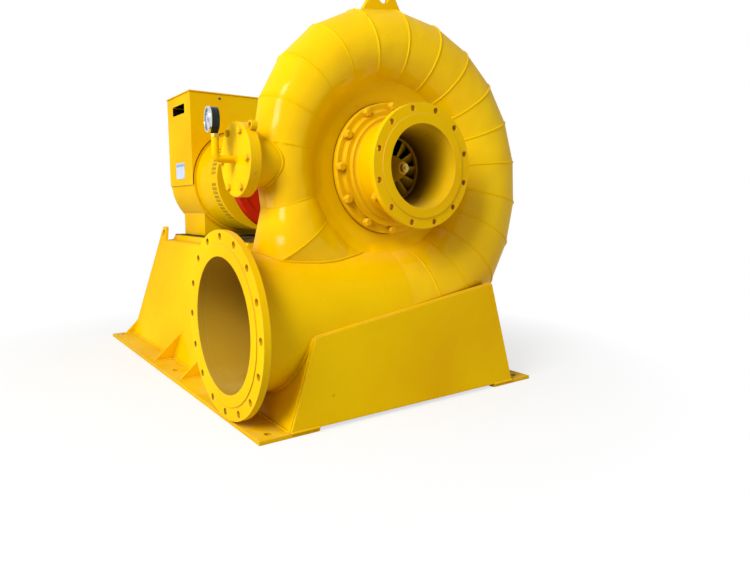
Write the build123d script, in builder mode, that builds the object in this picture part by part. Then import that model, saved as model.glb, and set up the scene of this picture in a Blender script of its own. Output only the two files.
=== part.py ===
# Horizontal Francis turbine and generator on one welded base.
# Millimetres, +Z up. The origin is on the floor, at the middle of the foundation bolts.
# The shaft runs along Y with the draft tube towards -Y, and the inlet opens towards -X.

import math
import os

from build123d import *

# Base
BASE_WIDTH = 1106.0
BASE_TAIL = 49.0
FOOT_WIDTH = 190.0
FOOT_THICK = 12.0
PLATE = 12.0
SIDE_SETBACK = 98.0
SIDE_DECK_HALF = 307.0
FRONT_TOP_LEFT = 275.0
FRONT_TOP_RIGHT = 378.0
REAR_SETBACK = 20.0
EYE_HEIGHT = 67.0
EYE_LENGTH = 100.0
EYE_HOLE_R = 16.0
BULKHEAD_GAP = 12.0
BED_LEAD = 333.0
BED_MARGIN = 11.0
BED_HALF = 250.0
BED_SLOPE = 14.0
BED_THICK = 30.0
FOUNDATION_HOLE_R = 11.0
FOUNDATION_EDGE_X = 45.0
FOUNDATION_EDGE_Y = 40.0
GUSSET_THICK = 10.0
GUSSET_HEIGHT = 110.0
GUSSET_REACH = 86.0
GUSSET_FROM_BULKHEAD = 268.0
GUSSET_PITCH = 332.0
END_GUSSET_HEIGHT = 62.0
END_GUSSET_REACH = 43.0

# Spiral casing
AXIS_Z = 768.0
INLET_R = 213.0
CASING_WALL = 8.0
CASING_INNER_R = 258.0
CASING_TAPER = 0.453
RISING_PLATE_ANGLE = 15.76
RISING_PLATES = 10
FALLING_PLATE_ANGLE = 17.2
FALLING_PLATES = 6
# The last seams, where the tube flares to meet the inlet pipe: angle, half depth, half width
CASING_TAIL = ((287.24, 90.0, 90.0), (304.44, 150.0, 118.0), (326.8, 135.0, 110.0), (344.0, 118.0, 100.0))
PLATES_PER_SECTION = 4
SECTIONS = 5
INLET_OVERHANG = 9.0
INLET_FLANGE_R = 282.5
INLET_FLANGE_THICK = 24.0
INLET_PCD = 525.0
INLET_HOLES = 16
INLET_HOLE_R = 11.0
INLET_FACE_R = 241.0
RAISED_FACE = 3.0
LUG_HOLE_R = 22.0
LUG_RIM = 26.0
LUG_STAND = 43.5
LUG_BASE_HALF = 92.0
LUG_THICK = 20.0
LUG_SHIFT = 24.0

# Stay ring and vanes
RING_OUTER_R = 306.0
RING_BORE_R = 172.0
RING_HALF = 64.0
RING_PLATE = 22.0
STAY_VANES = 10
STAY_VANE_R = 282.0
STAY_VANE_CHORD = 36.0
GUIDE_VANES = 14
GUIDE_VANE_R = 212.0
GUIDE_VANE_CHORD = 56.0
VANE_THICK = 11.0
VANE_ANGLE = 38.0

# Draft cover, pipe and flange, measured forward from the casing's middle plane
COVER_R = 211.0
COVER_THICK = 20.0
COVER_HUB_R = 186.0
COVER_HUB_LENGTH = 14.0
COVER_NECK_R = 166.0
COVER_NECK_LENGTH = 8.0
DRAFT_PIPE_R = 150.0
DRAFT_THROAT_R = 102.0
DRAFT_MOUTH_R = 128.5
DRAFT_REACH = 254.0
DRAFT_FLANGE_R = 190.0
DRAFT_FLANGE_THICK = 22.0
DRAFT_PCD = 350.0
DRAFT_HOLES = 12
DRAFT_HOLE_R = 9.0
DRAFT_FACE_R = 158.0

# Runner and shaft
RUNNER_R = 155.0
RUNNER_OUT_R = 100.0
RUNNER_GATE_HALF = 40.0
RUNNER_LENGTH = 95.0
RUNNER_DISC = 18.0
RUNNER_BAND = 9.0
HUB_R = 43.0
HUB_BLEND = 60.0
HUB_LENGTH = 150.0
HUB_TIP_R = 20.0
NOSE_PAST_BLADES = 20.0
NUT_R = 14.0
NUT_LENGTH = 12.0
STUD_R = 7.0
STUD_LENGTH = 6.0
BLADES = 13
BLADE_THICK = 7.0
BLADE_SEAT = 0.05
BLADE_TWISTS = (0.0, 5.0, 24.0, 74.0)
RUNNER_GAP = 6.0
SHAFT_R = 35.0
SHAFT_NOSE_R = 28.0
SHAFT_IN_GENERATOR = 90.0
FLYWHEEL_UNDER_FRAME = 10.0
FLYWHEEL_WIDTH = 46.0
FLYWHEEL_RIM = 32.0
FLYWHEEL_WEB = 30.0
FLYWHEEL_HUB_R = 78.0
FLYWHEEL_HUB_WIDTH = 96.0
FLYWHEEL_FROM_GENERATOR = 180.0
SHAFT_FIT = 0.15
BEARING_FIT = 0.08
SEAT_GAP = 0.3

# Rear cover, gland and pedestal bearing
REAR_COVER_R = 215.0
REAR_COVER_THICK = 20.0
GLAND_R = 78.0
GLAND_LENGTH = 48.0
GLAND_LIP_R = 98.0
GLAND_LIP = 14.0
BEARING_FROM_DECK_FRONT = 110.0
BEARING_WIDTH = 120.0
BEARING_R = 82.0
BEARING_SEAT_DROP = 62.0
BEARING_FOOT_HALF = 150.0
PEDESTAL_HALF_TOP = 150.0
PEDESTAL_HALF_FOOT = 185.0
PEDESTAL_WIDTH = 150.0

# Inspection branch with its blind cover and pressure gauge
BRANCH_RISE = 13.0
BRANCH_FACE = 505.0
BRANCH_R = 79.0
BRANCH_WALL = 6.0
BRANCH_FLANGE_R = 108.0
BRANCH_FLANGE_THICK = 18.0
BRANCH_COVER_THICK = 16.0
BRANCH_EYE_R = 14.0
BRANCH_EYE_HOLE_R = 9.0
BRANCH_EYE_ANGLE = 38.0
GAUGE_PIPE_R = 10.5
GAUGE_PIPE_OUT = 58.0
GAUGE_PIPE_UP = 62.0
GAUGE_PIPE_BEND = 13.0
GAUGE_R = 36.0
GAUGE_DEPTH = 28.0
GAUGE_SET_OUT = 7.0
GAUGE_TURN = 8.0
GAUGE_BEZEL = 5.0
GAUGE_STEM_R = 6.5
GAUGE_STEM = 10.0
GAUGE_DIAL_INSET = 4.0
GAUGE_DIAL_THICK = 2.0

# Generator
DRIVE_END_FROM_FRONT = 1083.0
DRIVE_END_UNDER_FRAME = 12.0
DRIVE_END_LENGTH = 256.0
FRAME_R = 243.0
FRAME_LENGTH = 332.0
FRAME_ABOVE_BED = 17.0
REAR_END_UNDER_FRAME = 17.0
REAR_END_LENGTH = 30.0
REAR_CAP_R = 85.0
REAR_CAP_LENGTH = 14.0
FEET_UNDER_FRAME = 54.0
FEET_INSET = 22.0
BOX_OVER_FRAME = 5.0
BOX_ROOM = 167.0
BOX_SKIRT = 20.0
BOX_LID = 6.0
BOX_LID_LIP = 4.0
SLOT_LENGTH = 172.0
SLOT_HEIGHT = 44.0
SLOT_DEPTH = 60.0
SLOT_BELOW_TOP = 72.0
SLOT_CORNER = 6.0
NAMEPLATE_LENGTH = 120.0
NAMEPLATE_HEIGHT = 76.0
NAMEPLATE_THICK = 2.0
NAMEPLATE_ABOVE_AXIS = 50.0
LOUVRE_ROWS = 10
LOUVRE_COLUMNS = 4
LOUVRE_STEP_ANGLE = 4.6
LOUVRE_PATCH_ANGLE = 27.0
LOUVRE_LENGTH = 13.0
LOUVRE_WIDTH = 6.5
LOUVRE_PITCH = 13.0
LOUVRE_DEPTH = 10.0
LOUVRE_EDGE = 16.0

# Places worked out from the sizes above
BASE_LENGTH = DRIVE_END_FROM_FRONT + DRIVE_END_LENGTH + FRAME_LENGTH + BASE_TAIL
SIDE_FOOT_HALF = BASE_WIDTH / 2 - SIDE_SETBACK
INLET_REACH = BASE_WIDTH / 2 + INLET_OVERHANG
FRONT_Y = -BASE_LENGTH / 2
REAR_Y = BASE_LENGTH / 2 - REAR_SETBACK
BED_TOP = AXIS_Z - FRAME_R - FRAME_ABOVE_BED
DECK_TOP = BED_TOP - BED_THICK
LEAN = (SIDE_FOOT_HALF - SIDE_DECK_HALF) / (DECK_TOP - FOOT_THICK)
SIDE_ACROSS = PLATE * math.hypot(1.0, LEAN)
CASING_Y = FRONT_Y + PLATE + SEAT_GAP + INLET_R
INLET_Z = AXIS_Z - CASING_INNER_R - INLET_R
BULKHEAD_Y = CASING_Y + INLET_R + BULKHEAD_GAP
DRIVE_END_Y = FRONT_Y + DRIVE_END_FROM_FRONT
FRAME_Y = DRIVE_END_Y + DRIVE_END_LENGTH
FRAME_REAR_Y = FRAME_Y + FRAME_LENGTH
BED_FRONT_Y = DRIVE_END_Y - BED_LEAD
BED_REAR_Y = FRAME_REAR_Y - FEET_INSET + BED_MARGIN
DRIVE_END_R = FRAME_R - DRIVE_END_UNDER_FRAME
REAR_END_R = FRAME_R - REAR_END_UNDER_FRAME
FEET_HALF = FRAME_R - FEET_UNDER_FRAME
BOX_HALF = FRAME_R + BOX_OVER_FRAME
BOX_TOP = AXIS_Z + FRAME_R + BOX_ROOM
FLYWHEEL_R = FRAME_R - FLYWHEEL_UNDER_FRAME
FLYWHEEL_Y = DRIVE_END_Y - FLYWHEEL_FROM_GENERATOR
BEARING_Y = BULKHEAD_Y + BEARING_FROM_DECK_FRONT
BRANCH_Y = CASING_Y
BRANCH_Z = AXIS_Z + BRANCH_RISE
GATE_HALF = RING_HALF - RING_PLATE
COVER_FACE = RING_HALF + COVER_THICK
PIPE_START = COVER_FACE + COVER_HUB_LENGTH + COVER_NECK_LENGTH
PIPE_END = DRAFT_REACH - DRAFT_FLANGE_THICK
THROAT = RUNNER_LENGTH + RUNNER_GAP
NOSE_END = RUNNER_LENGTH + NOSE_PAST_BLADES

SHAFT_AXIS = Axis((0, CASING_Y, AXIS_Z), (0, 1, 0))
# Half-section plane of everything round the shaft: x is the radius, y is the way out of the draft tube
SHAFT_SECTION = Plane(origin=(0, CASING_Y, AXIS_Z), x_dir=(1, 0, 0), z_dir=(0, 0, -1))


def across_shaft(y):
    """Plane square to the shaft at y, with local y upwards and its normal towards -Y."""
    return Plane(origin=(0, y, AXIS_Z), x_dir=(1, 0, 0), z_dir=(0, -1, 0))


def facing_inlet(x, y, z):
    """Plane square to X at a point, with its normal towards -X."""
    return Plane(origin=(x, y, z), x_dir=(0, -1, 0), z_dir=(-1, 0, 0))


def base_section(y):
    """Plane square to Y on the floor, with local y upwards and its normal towards -Y."""
    return Plane(origin=(0, y, 0), x_dir=(1, 0, 0), z_dir=(0, -1, 0))


def side_half(z):
    """Half width of the base over its leaning side plates at height z."""
    return SIDE_FOOT_HALF - LEAN * (z - FOOT_THICK)


def inner_half(z):
    """Half width between the side plates at height z."""
    return side_half(z) - SIDE_ACROSS


def finish(piece, name):
    """Label a finished piece and write it to its own file."""
    piece.part.label = name
    export_step(piece.part, f"parts/{name}.step")


os.makedirs("parts", exist_ok=True)


# Foot plates
for side, name in ((-1, "foot_plate_left"), (1, "foot_plate_right")):
    foot_middle = side * (BASE_WIDTH - FOOT_WIDTH) / 2
    hole_x = side * (BASE_WIDTH / 2 - FOUNDATION_EDGE_X)
    hole_y = BASE_LENGTH / 2 - FOUNDATION_EDGE_Y
    with BuildPart() as foot_plate:
        with BuildSketch(Plane.XY):
            with Locations((foot_middle, 0)):
                Rectangle(FOOT_WIDTH, BASE_LENGTH)
            with Locations((hole_x, -hole_y), (hole_x, 0), (hole_x, hole_y)):
                Circle(FOUNDATION_HOLE_R, mode=Mode.SUBTRACT)
        extrude(amount=FOOT_THICK)
    finish(foot_plate, name)


# Spiral casing: mitred plates between seams on planes through the shaft, from straight down towards +X
def casing_radius(angle):
    """Outer radius of the casing's tube at an angle before the tail."""
    return INLET_R - CASING_TAPER * angle


plate_turns = [RISING_PLATE_ANGLE] * RISING_PLATES + [FALLING_PLATE_ANGLE] * FALLING_PLATES
seam_angles = [sum(plate_turns[:count]) for count in range(len(plate_turns) + 1)]
casing_seams = [(angle, casing_radius(angle), casing_radius(angle)) for angle in seam_angles]
casing_seams += CASING_TAIL


def casing_ring(seam, wall):
    """Ring of the casing at a seam, wall mm inside its outside. Local x points away from the shaft."""
    angle, half_depth, half_width = casing_seams[seam]
    turn = math.radians(angle)
    reach = CASING_INNER_R + half_depth
    middle = (reach * math.sin(turn), CASING_Y, AXIS_Z - reach * math.cos(turn))
    away = (math.sin(turn), 0, -math.cos(turn))
    with BuildSketch(Plane(origin=middle, x_dir=away, z_dir=(math.cos(turn), 0, math.sin(turn)))) as ring:
        Ellipse(half_depth - wall, half_width - wall)
    return ring.sketch


def casing_tube(section, wall, mode=Mode.ADD):
    """Mitred tube of one casing section, wall mm inside the casing's outside."""
    first = section * PLATES_PER_SECTION
    rings = [casing_ring(seam, wall) for seam in range(first, first + PLATES_PER_SECTION + 1)]
    loft(rings, ruled=True, mode=mode)


def ring_space(mode):
    """The room that the stay ring takes out of the casing."""
    with BuildSketch(across_shaft(CASING_Y)) as ring:
        Circle(RING_OUTER_R)
    extrude(ring.sketch, amount=RING_HALF, both=True, mode=mode)


PIPE_X = -INLET_REACH + INLET_FLANGE_THICK
inlet_section = Plane(origin=(PIPE_X, CASING_Y, INLET_Z), x_dir=(0, 1, 0), z_dir=(1, 0, 0))

with BuildPart() as inlet_body:
    with BuildSketch(inlet_section):
        Circle(INLET_R)
    extrude(amount=-PIPE_X)

casing_bodies = []
for section in range(SECTIONS):
    with BuildPart() as casing_body:
        casing_tube(section, 0)
    casing_bodies.append(casing_body)

with BuildPart() as inlet_pipe:
    add(inlet_body.part)
    with BuildSketch(inlet_section):
        Circle(INLET_R - CASING_WALL)
    extrude(amount=-PIPE_X, mode=Mode.SUBTRACT)
    ring_space(Mode.SUBTRACT)
finish(inlet_pipe, "inlet_pipe")

for section in range(SECTIONS):
    with BuildPart() as spiral_section:
        add(casing_bodies[section].part)
        casing_tube(section, CASING_WALL, mode=Mode.SUBTRACT)
        ring_space(Mode.SUBTRACT)
        if section == SECTIONS - 1:
            add(inlet_body.part, mode=Mode.SUBTRACT)
    finish(spiral_section, f"spiral_section_{section + 1}")

with BuildPart() as inlet_flange:
    with BuildSketch(facing_inlet(-INLET_REACH + RAISED_FACE, CASING_Y, INLET_Z)):
        Circle(INLET_FLANGE_R)
        Circle(INLET_R - CASING_WALL, mode=Mode.SUBTRACT)
        with PolarLocations(INLET_PCD / 2, INLET_HOLES):
            Circle(INLET_HOLE_R, mode=Mode.SUBTRACT)
    extrude(amount=-(INLET_FLANGE_THICK - RAISED_FACE))
    with BuildSketch(facing_inlet(-INLET_REACH + RAISED_FACE, CASING_Y, INLET_Z)):
        Circle(INLET_FACE_R)
        Circle(INLET_R - CASING_WALL, mode=Mode.SUBTRACT)
    extrude(amount=RAISED_FACE)
finish(inlet_flange, "inlet_flange")

# Lifting lug on the crown of the casing, in the casing's middle plane
CROWN = 180.0
crown_z = AXIS_Z + CASING_INNER_R + 2 * casing_radius(CROWN)
lug_hole_z = crown_z + LUG_STAND
with BuildPart() as casing_lug:
    with BuildSketch(base_section(CASING_Y)):
        with BuildLine():
            rim = LUG_HOLE_R + LUG_RIM
            lug_foot = crown_z - casing_radius(CROWN) / 2
            Polyline(
                (LUG_SHIFT - rim, lug_hole_z),
                (LUG_SHIFT - LUG_BASE_HALF, crown_z - LUG_RIM),
                (LUG_SHIFT - LUG_BASE_HALF, lug_foot),
                (LUG_SHIFT + LUG_BASE_HALF, lug_foot),
                (LUG_SHIFT + LUG_BASE_HALF, crown_z - LUG_RIM),
                (LUG_SHIFT + rim, lug_hole_z),
            )
            ThreePointArc(
                (LUG_SHIFT + rim, lug_hole_z),
                (LUG_SHIFT, lug_hole_z + rim),
                (LUG_SHIFT - rim, lug_hole_z),
            )
        make_face()
        with Locations((LUG_SHIFT, lug_hole_z)):
            Circle(LUG_HOLE_R, mode=Mode.SUBTRACT)
    extrude(amount=LUG_THICK / 2, both=True)
    for casing_body in casing_bodies:
        add(casing_body.part, mode=Mode.SUBTRACT)
finish(casing_lug, "casing_lifting_lug")


# Stay ring and vanes
for side, name in ((1, "stay_ring_front"), (-1, "stay_ring_back")):
    with BuildPart() as stay_ring:
        with BuildSketch(across_shaft(CASING_Y - side * RING_HALF)):
            Circle(RING_OUTER_R)
            Circle(RING_BORE_R, mode=Mode.SUBTRACT)
        extrude(amount=-side * RING_PLATE)
    finish(stay_ring, name)

with BuildPart() as guide_vanes:
    with BuildSketch(across_shaft(CASING_Y)):
        with PolarLocations(STAY_VANE_R, STAY_VANES):
            SlotOverall(STAY_VANE_CHORD, VANE_THICK, rotation=VANE_ANGLE)
        with PolarLocations(GUIDE_VANE_R, GUIDE_VANES):
            SlotOverall(GUIDE_VANE_CHORD, VANE_THICK, rotation=VANE_ANGLE)
    extrude(amount=GATE_HALF, both=True)
finish(guide_vanes, "guide_vanes")


# Draft cover, pipe and flange, turned about the shaft
def draft_bore(reach):
    """Radius inside the draft cone at a distance from the casing's middle plane."""
    share = (reach - THROAT) / (DRAFT_REACH - THROAT)
    return DRAFT_THROAT_R + share * (DRAFT_MOUTH_R - DRAFT_THROAT_R)


shroud_r = RUNNER_OUT_R + RUNNER_BAND + RUNNER_GAP + RAISED_FACE
with BuildPart() as draft_cover:
    with BuildSketch(SHAFT_SECTION):
        with BuildLine():
            Polyline(
                (COVER_R, RING_HALF),
                (COVER_R, COVER_FACE),
                (COVER_HUB_R, COVER_FACE),
                (COVER_HUB_R, COVER_FACE + COVER_HUB_LENGTH),
                (COVER_NECK_R, COVER_FACE + COVER_HUB_LENGTH),
                (COVER_NECK_R, PIPE_START),
                (draft_bore(PIPE_START), PIPE_START),
                (DRAFT_THROAT_R, THROAT),
                (shroud_r, THROAT),
                (shroud_r, COVER_FACE - RUNNER_GAP),
                (shroud_r + COVER_THICK - RUNNER_GAP, RING_HALF),
                close=True,
            )
        make_face()
    revolve(axis=SHAFT_AXIS)
    outer_edges = draft_cover.edges().filter_by(GeomType.CIRCLE).sort_by(SortBy.RADIUS)[-2:]
    chamfer(outer_edges.sort_by(Axis.Y)[0], length=RAISED_FACE)
finish(draft_cover, "draft_cover")

with BuildPart() as draft_pipe:
    with BuildSketch(SHAFT_SECTION):
        with BuildLine():
            Polyline(
                (DRAFT_PIPE_R, PIPE_START),
                (DRAFT_PIPE_R, PIPE_END),
                (draft_bore(PIPE_END), PIPE_END),
                (draft_bore(PIPE_START), PIPE_START),
                close=True,
            )
        make_face()
    revolve(axis=SHAFT_AXIS)
finish(draft_pipe, "draft_pipe")

with BuildPart() as draft_flange:
    with BuildSketch(SHAFT_SECTION):
        with BuildLine():
            Polyline(
                (DRAFT_FLANGE_R, PIPE_END),
                (DRAFT_FLANGE_R, DRAFT_REACH - RAISED_FACE),
                (DRAFT_FACE_R, DRAFT_REACH - RAISED_FACE),
                (DRAFT_FACE_R, DRAFT_REACH),
                (DRAFT_MOUTH_R, DRAFT_REACH),
                (draft_bore(PIPE_END), PIPE_END),
                close=True,
            )
        make_face()
    revolve(axis=SHAFT_AXIS)
    with BuildSketch(across_shaft(CASING_Y - DRAFT_REACH)):
        with PolarLocations(DRAFT_PCD / 2, DRAFT_HOLES, start_angle=180.0 / DRAFT_HOLES):
            Circle(DRAFT_HOLE_R)
    extrude(amount=-DRAFT_FLANGE_THICK, mode=Mode.SUBTRACT)
finish(draft_flange, "draft_flange")


# Rear cover and shaft gland
with BuildPart() as rear_cover:
    with BuildSketch(across_shaft(CASING_Y + RING_HALF)):
        Circle(REAR_COVER_R)
        Circle(SHAFT_R + RUNNER_GAP, mode=Mode.SUBTRACT)
    extrude(amount=-REAR_COVER_THICK)
finish(rear_cover, "rear_cover")

gland_y = CASING_Y + RING_HALF + REAR_COVER_THICK
with BuildPart() as shaft_gland:
    with BuildSketch(across_shaft(gland_y)):
        Circle(GLAND_R)
    extrude(amount=-GLAND_LENGTH)
    with BuildSketch(across_shaft(gland_y + GLAND_LENGTH)):
        Circle(GLAND_LIP_R)
    extrude(amount=-GLAND_LIP)
    with BuildSketch(across_shaft(gland_y)):
        Circle(SHAFT_R + SEAT_GAP)
    extrude(amount=-(GLAND_LENGTH + GLAND_LIP), mode=Mode.SUBTRACT)
finish(shaft_gland, "shaft_gland")


# Inspection branch
with BuildPart() as branch_pipe:
    branch_start = facing_inlet(-BRANCH_FACE + BRANCH_COVER_THICK + BRANCH_FLANGE_THICK, BRANCH_Y, BRANCH_Z)
    branch_length = BRANCH_FACE - CASING_INNER_R
    with BuildSketch(branch_start):
        Circle(BRANCH_R)
        Circle(BRANCH_R - BRANCH_WALL, mode=Mode.SUBTRACT)
    extrude(amount=-branch_length)
    for casing_body in casing_bodies:
        add(casing_body.part, mode=Mode.SUBTRACT)
    ring_space(Mode.SUBTRACT)
    for leftover in branch_pipe.solids().sort_by(Axis.X)[1:]:
        add(leftover, mode=Mode.SUBTRACT)
finish(branch_pipe, "branch_pipe")

with BuildPart() as branch_flange:
    with BuildSketch(facing_inlet(-BRANCH_FACE + BRANCH_COVER_THICK, BRANCH_Y, BRANCH_Z)):
        Circle(BRANCH_FLANGE_R)
        with PolarLocations(BRANCH_FLANGE_R + BRANCH_EYE_HOLE_R, 1, start_angle=90.0 - BRANCH_EYE_ANGLE):
            Circle(BRANCH_EYE_R)
            Circle(BRANCH_EYE_HOLE_R, mode=Mode.SUBTRACT)
        Circle(BRANCH_R - BRANCH_WALL, mode=Mode.SUBTRACT)
    extrude(amount=-BRANCH_FLANGE_THICK)
finish(branch_flange, "branch_flange")

with BuildPart() as branch_cover:
    with BuildSketch(facing_inlet(-BRANCH_FACE, BRANCH_Y, BRANCH_Z)):
        Circle(BRANCH_FLANGE_R)
    extrude(amount=-BRANCH_COVER_THICK)
    chamfer(branch_cover.edges().sort_by(Axis.X)[0], length=RAISED_FACE / 2)
finish(branch_cover, "branch_blind_cover")

GAUGE_X = -BRANCH_FACE - GAUGE_PIPE_OUT
pipe_top_z = BRANCH_Z + GAUGE_PIPE_UP
with BuildPart() as gauge_pipe:
    with BuildLine() as gauge_route:
        FilletPolyline(
            (-BRANCH_FACE, BRANCH_Y, BRANCH_Z),
            (GAUGE_X, BRANCH_Y, BRANCH_Z),
            (GAUGE_X, BRANCH_Y, pipe_top_z),
            radius=GAUGE_PIPE_BEND,
        )
    with BuildSketch(facing_inlet(-BRANCH_FACE, BRANCH_Y, BRANCH_Z)):
        Circle(GAUGE_PIPE_R)
    sweep()
finish(gauge_pipe, "gauge_pipe")

gauge_z = pipe_top_z + GAUGE_STEM + GAUGE_R


def gauge_plane(inset):
    """Plane of the gauge's face moved in by inset. The face is turned about the stem towards +Y."""
    turn = math.radians(GAUGE_TURN)
    reach = GAUGE_SET_OUT + GAUGE_DEPTH / 2 - inset
    middle = (GAUGE_X - reach * math.cos(turn), BRANCH_Y + reach * math.sin(turn), gauge_z)
    across = (-math.sin(turn), -math.cos(turn), 0)
    return Plane(origin=middle, x_dir=across, z_dir=(-math.cos(turn), math.sin(turn), 0))


with BuildPart() as gauge_case:
    with BuildSketch(gauge_plane(0)):
        Circle(GAUGE_R)
    extrude(amount=-GAUGE_DEPTH)
    with BuildSketch(Plane.XY.offset(pipe_top_z)):
        with Locations((GAUGE_X, BRANCH_Y)):
            Circle(GAUGE_STEM_R)
    extrude(amount=GAUGE_STEM + GAUGE_R / 2)
    with BuildSketch(gauge_plane(0)):
        Circle(GAUGE_R - GAUGE_BEZEL)
    extrude(amount=-(GAUGE_DIAL_INSET + GAUGE_DIAL_THICK), mode=Mode.SUBTRACT)
finish(gauge_case, "gauge_case")

with BuildPart() as gauge_dial:
    with BuildSketch(gauge_plane(GAUGE_DIAL_INSET)):
        Circle(GAUGE_R - GAUGE_BEZEL - SEAT_GAP)
    extrude(amount=-GAUGE_DIAL_THICK)
finish(gauge_dial, "gauge_dial")


# Base plates
FRONT_BACK_Y = FRONT_Y + PLATE
SIDE_TOP = DECK_TOP + EYE_HEIGHT
for side, name, front_top in ((-1, "base_side_left", FRONT_TOP_LEFT), (1, "base_side_right", FRONT_TOP_RIGHT)):
    with BuildPart() as base_side:
        with BuildSketch(base_section(REAR_Y)):
            with BuildLine():
                Polyline(
                    (side * side_half(FOOT_THICK), FOOT_THICK),
                    (side * inner_half(FOOT_THICK), FOOT_THICK),
                    (side * inner_half(SIDE_TOP), SIDE_TOP),
                    (side * side_half(SIDE_TOP), SIDE_TOP),
                    close=True,
                )
            make_face()
        extrude(amount=REAR_Y - FRONT_BACK_Y)
        # Side outline: low in front of the casing, deck height behind it, and a lifting eye at the rear
        with BuildSketch(Plane.YZ.offset(-BASE_WIDTH)):
            with BuildLine():
                Polyline(
                    (FRONT_BACK_Y, FOOT_THICK),
                    (FRONT_BACK_Y, front_top),
                    (CASING_Y, front_top),
                    (CASING_Y, DECK_TOP),
                    (REAR_Y - EYE_LENGTH, DECK_TOP),
                    (REAR_Y - EYE_LENGTH / 2, SIDE_TOP),
                    (REAR_Y, SIDE_TOP),
                    (REAR_Y, FOOT_THICK),
                    close=True,
                )
            make_face()
            with Locations((REAR_Y - EYE_LENGTH / 3, SIDE_TOP - 2 * EYE_HOLE_R)):
                Circle(EYE_HOLE_R, mode=Mode.SUBTRACT)
        extrude(amount=2 * BASE_WIDTH, mode=Mode.INTERSECT)
        add(inlet_body.part, mode=Mode.SUBTRACT)
        for casing_body in casing_bodies:
            add(casing_body.part, mode=Mode.SUBTRACT)
    finish(base_side, name)

with BuildPart() as base_front:
    with BuildSketch(base_section(FRONT_BACK_Y)):
        with BuildLine():
            Polyline(
                (-side_half(FOOT_THICK), FOOT_THICK),
                (-side_half(FRONT_TOP_LEFT), FRONT_TOP_LEFT),
                (side_half(FRONT_TOP_RIGHT), FRONT_TOP_RIGHT),
                (side_half(FOOT_THICK), FOOT_THICK),
                close=True,
            )
        make_face()
    extrude(amount=PLATE)
finish(base_front, "base_front_plate")

inner_panels = (
    ("base_rear_plate", REAR_Y, PLATE, FOOT_THICK, DECK_TOP - PLATE),
    ("base_bulkhead", BULKHEAD_Y + PLATE, PLATE, FOOT_THICK, DECK_TOP - PLATE),
    ("base_deck", REAR_Y, REAR_Y - BULKHEAD_Y, DECK_TOP - PLATE, DECK_TOP),
)
for name, rear_y, length, low_z, high_z in inner_panels:
    with BuildPart() as inner_panel:
        with BuildSketch(base_section(rear_y)):
            with BuildLine():
                Polyline(
                    (-inner_half(low_z), low_z),
                    (-inner_half(high_z), high_z),
                    (inner_half(high_z), high_z),
                    (inner_half(low_z), low_z),
                    close=True,
                )
            make_face()
        extrude(amount=length)
    finish(inner_panel, name)

with BuildPart() as generator_bed:
    with BuildSketch(base_section(BED_REAR_Y)):
        with BuildLine():
            Polyline(
                (-BED_HALF, DECK_TOP),
                (-BED_HALF + BED_SLOPE, BED_TOP),
                (BED_HALF - BED_SLOPE, BED_TOP),
                (BED_HALF, DECK_TOP),
                close=True,
            )
        make_face()
    extrude(amount=BED_REAR_Y - BED_FRONT_Y)
finish(generator_bed, "generator_bed")

gusset_y = BULKHEAD_Y + GUSSET_FROM_BULKHEAD
gusset_rows = (
    (gusset_y, GUSSET_HEIGHT, GUSSET_REACH),
    (gusset_y + GUSSET_PITCH, GUSSET_HEIGHT, GUSSET_REACH),
    (REAR_Y, END_GUSSET_HEIGHT, END_GUSSET_REACH),
)
for side, name in ((-1, "base_gussets_left"), (1, "base_gussets_right")):
    with BuildPart() as gussets:
        for place, height, reach in gusset_rows:
            with BuildSketch(base_section(place)):
                with BuildLine():
                    Polyline(
                        (side * side_half(FOOT_THICK), FOOT_THICK),
                        (side * (SIDE_FOOT_HALF + reach), FOOT_THICK),
                        (side * side_half(FOOT_THICK + height), FOOT_THICK + height),
                        close=True,
                    )
                make_face()
            extrude(amount=GUSSET_THICK)
    finish(gussets, name)


# Pedestal bearing on the deck
bearing_seat_z = AXIS_Z - BEARING_SEAT_DROP
with BuildPart() as bearing_pedestal:
    with BuildSketch(base_section(BEARING_Y + PEDESTAL_WIDTH / 2)):
        with BuildLine():
            Polyline(
                (-PEDESTAL_HALF_FOOT, DECK_TOP),
                (-PEDESTAL_HALF_TOP, bearing_seat_z),
                (PEDESTAL_HALF_TOP, bearing_seat_z),
                (PEDESTAL_HALF_FOOT, DECK_TOP),
                close=True,
            )
        make_face()
    extrude(amount=PEDESTAL_WIDTH)
finish(bearing_pedestal, "bearing_pedestal")

with BuildPart() as bearing_housing:
    with BuildSketch(across_shaft(BEARING_Y + BEARING_WIDTH / 2)):
        Circle(BEARING_R)
        with Locations((0, -BEARING_SEAT_DROP / 2)):
            Rectangle(2 * BEARING_R, BEARING_SEAT_DROP)
        with Locations((0, -BEARING_SEAT_DROP * 3 / 4)):
            Rectangle(2 * BEARING_FOOT_HALF, BEARING_SEAT_DROP / 2)
        with Locations((0, -BEARING_SEAT_DROP - BEARING_R)):
            Rectangle(2 * BEARING_FOOT_HALF, 2 * BEARING_R, mode=Mode.SUBTRACT)
        Circle(SHAFT_R + BEARING_FIT, mode=Mode.SUBTRACT)
    extrude(amount=BEARING_WIDTH)
finish(bearing_housing, "bearing_housing")


# Runner: crown, band and twisted blades
def crown_line(inset):
    """Flow face of the crown from its rim to the hub, moved into the crown by inset."""
    EllipticalCenterArc(
        (RUNNER_R, HUB_BLEND),
        RUNNER_R - HUB_R + inset,
        HUB_BLEND + RUNNER_GATE_HALF + inset,
        start_angle=180,
        arc_size=90,
    )


def band_line(inset):
    """Flow face of the band from its rim to the outlet, moved into the band by inset."""
    EllipticalCenterArc(
        (RUNNER_R, RUNNER_LENGTH),
        RUNNER_R - RUNNER_OUT_R - inset,
        RUNNER_LENGTH - RUNNER_GATE_HALF - inset,
        start_angle=180,
        arc_size=90,
    )


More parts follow.
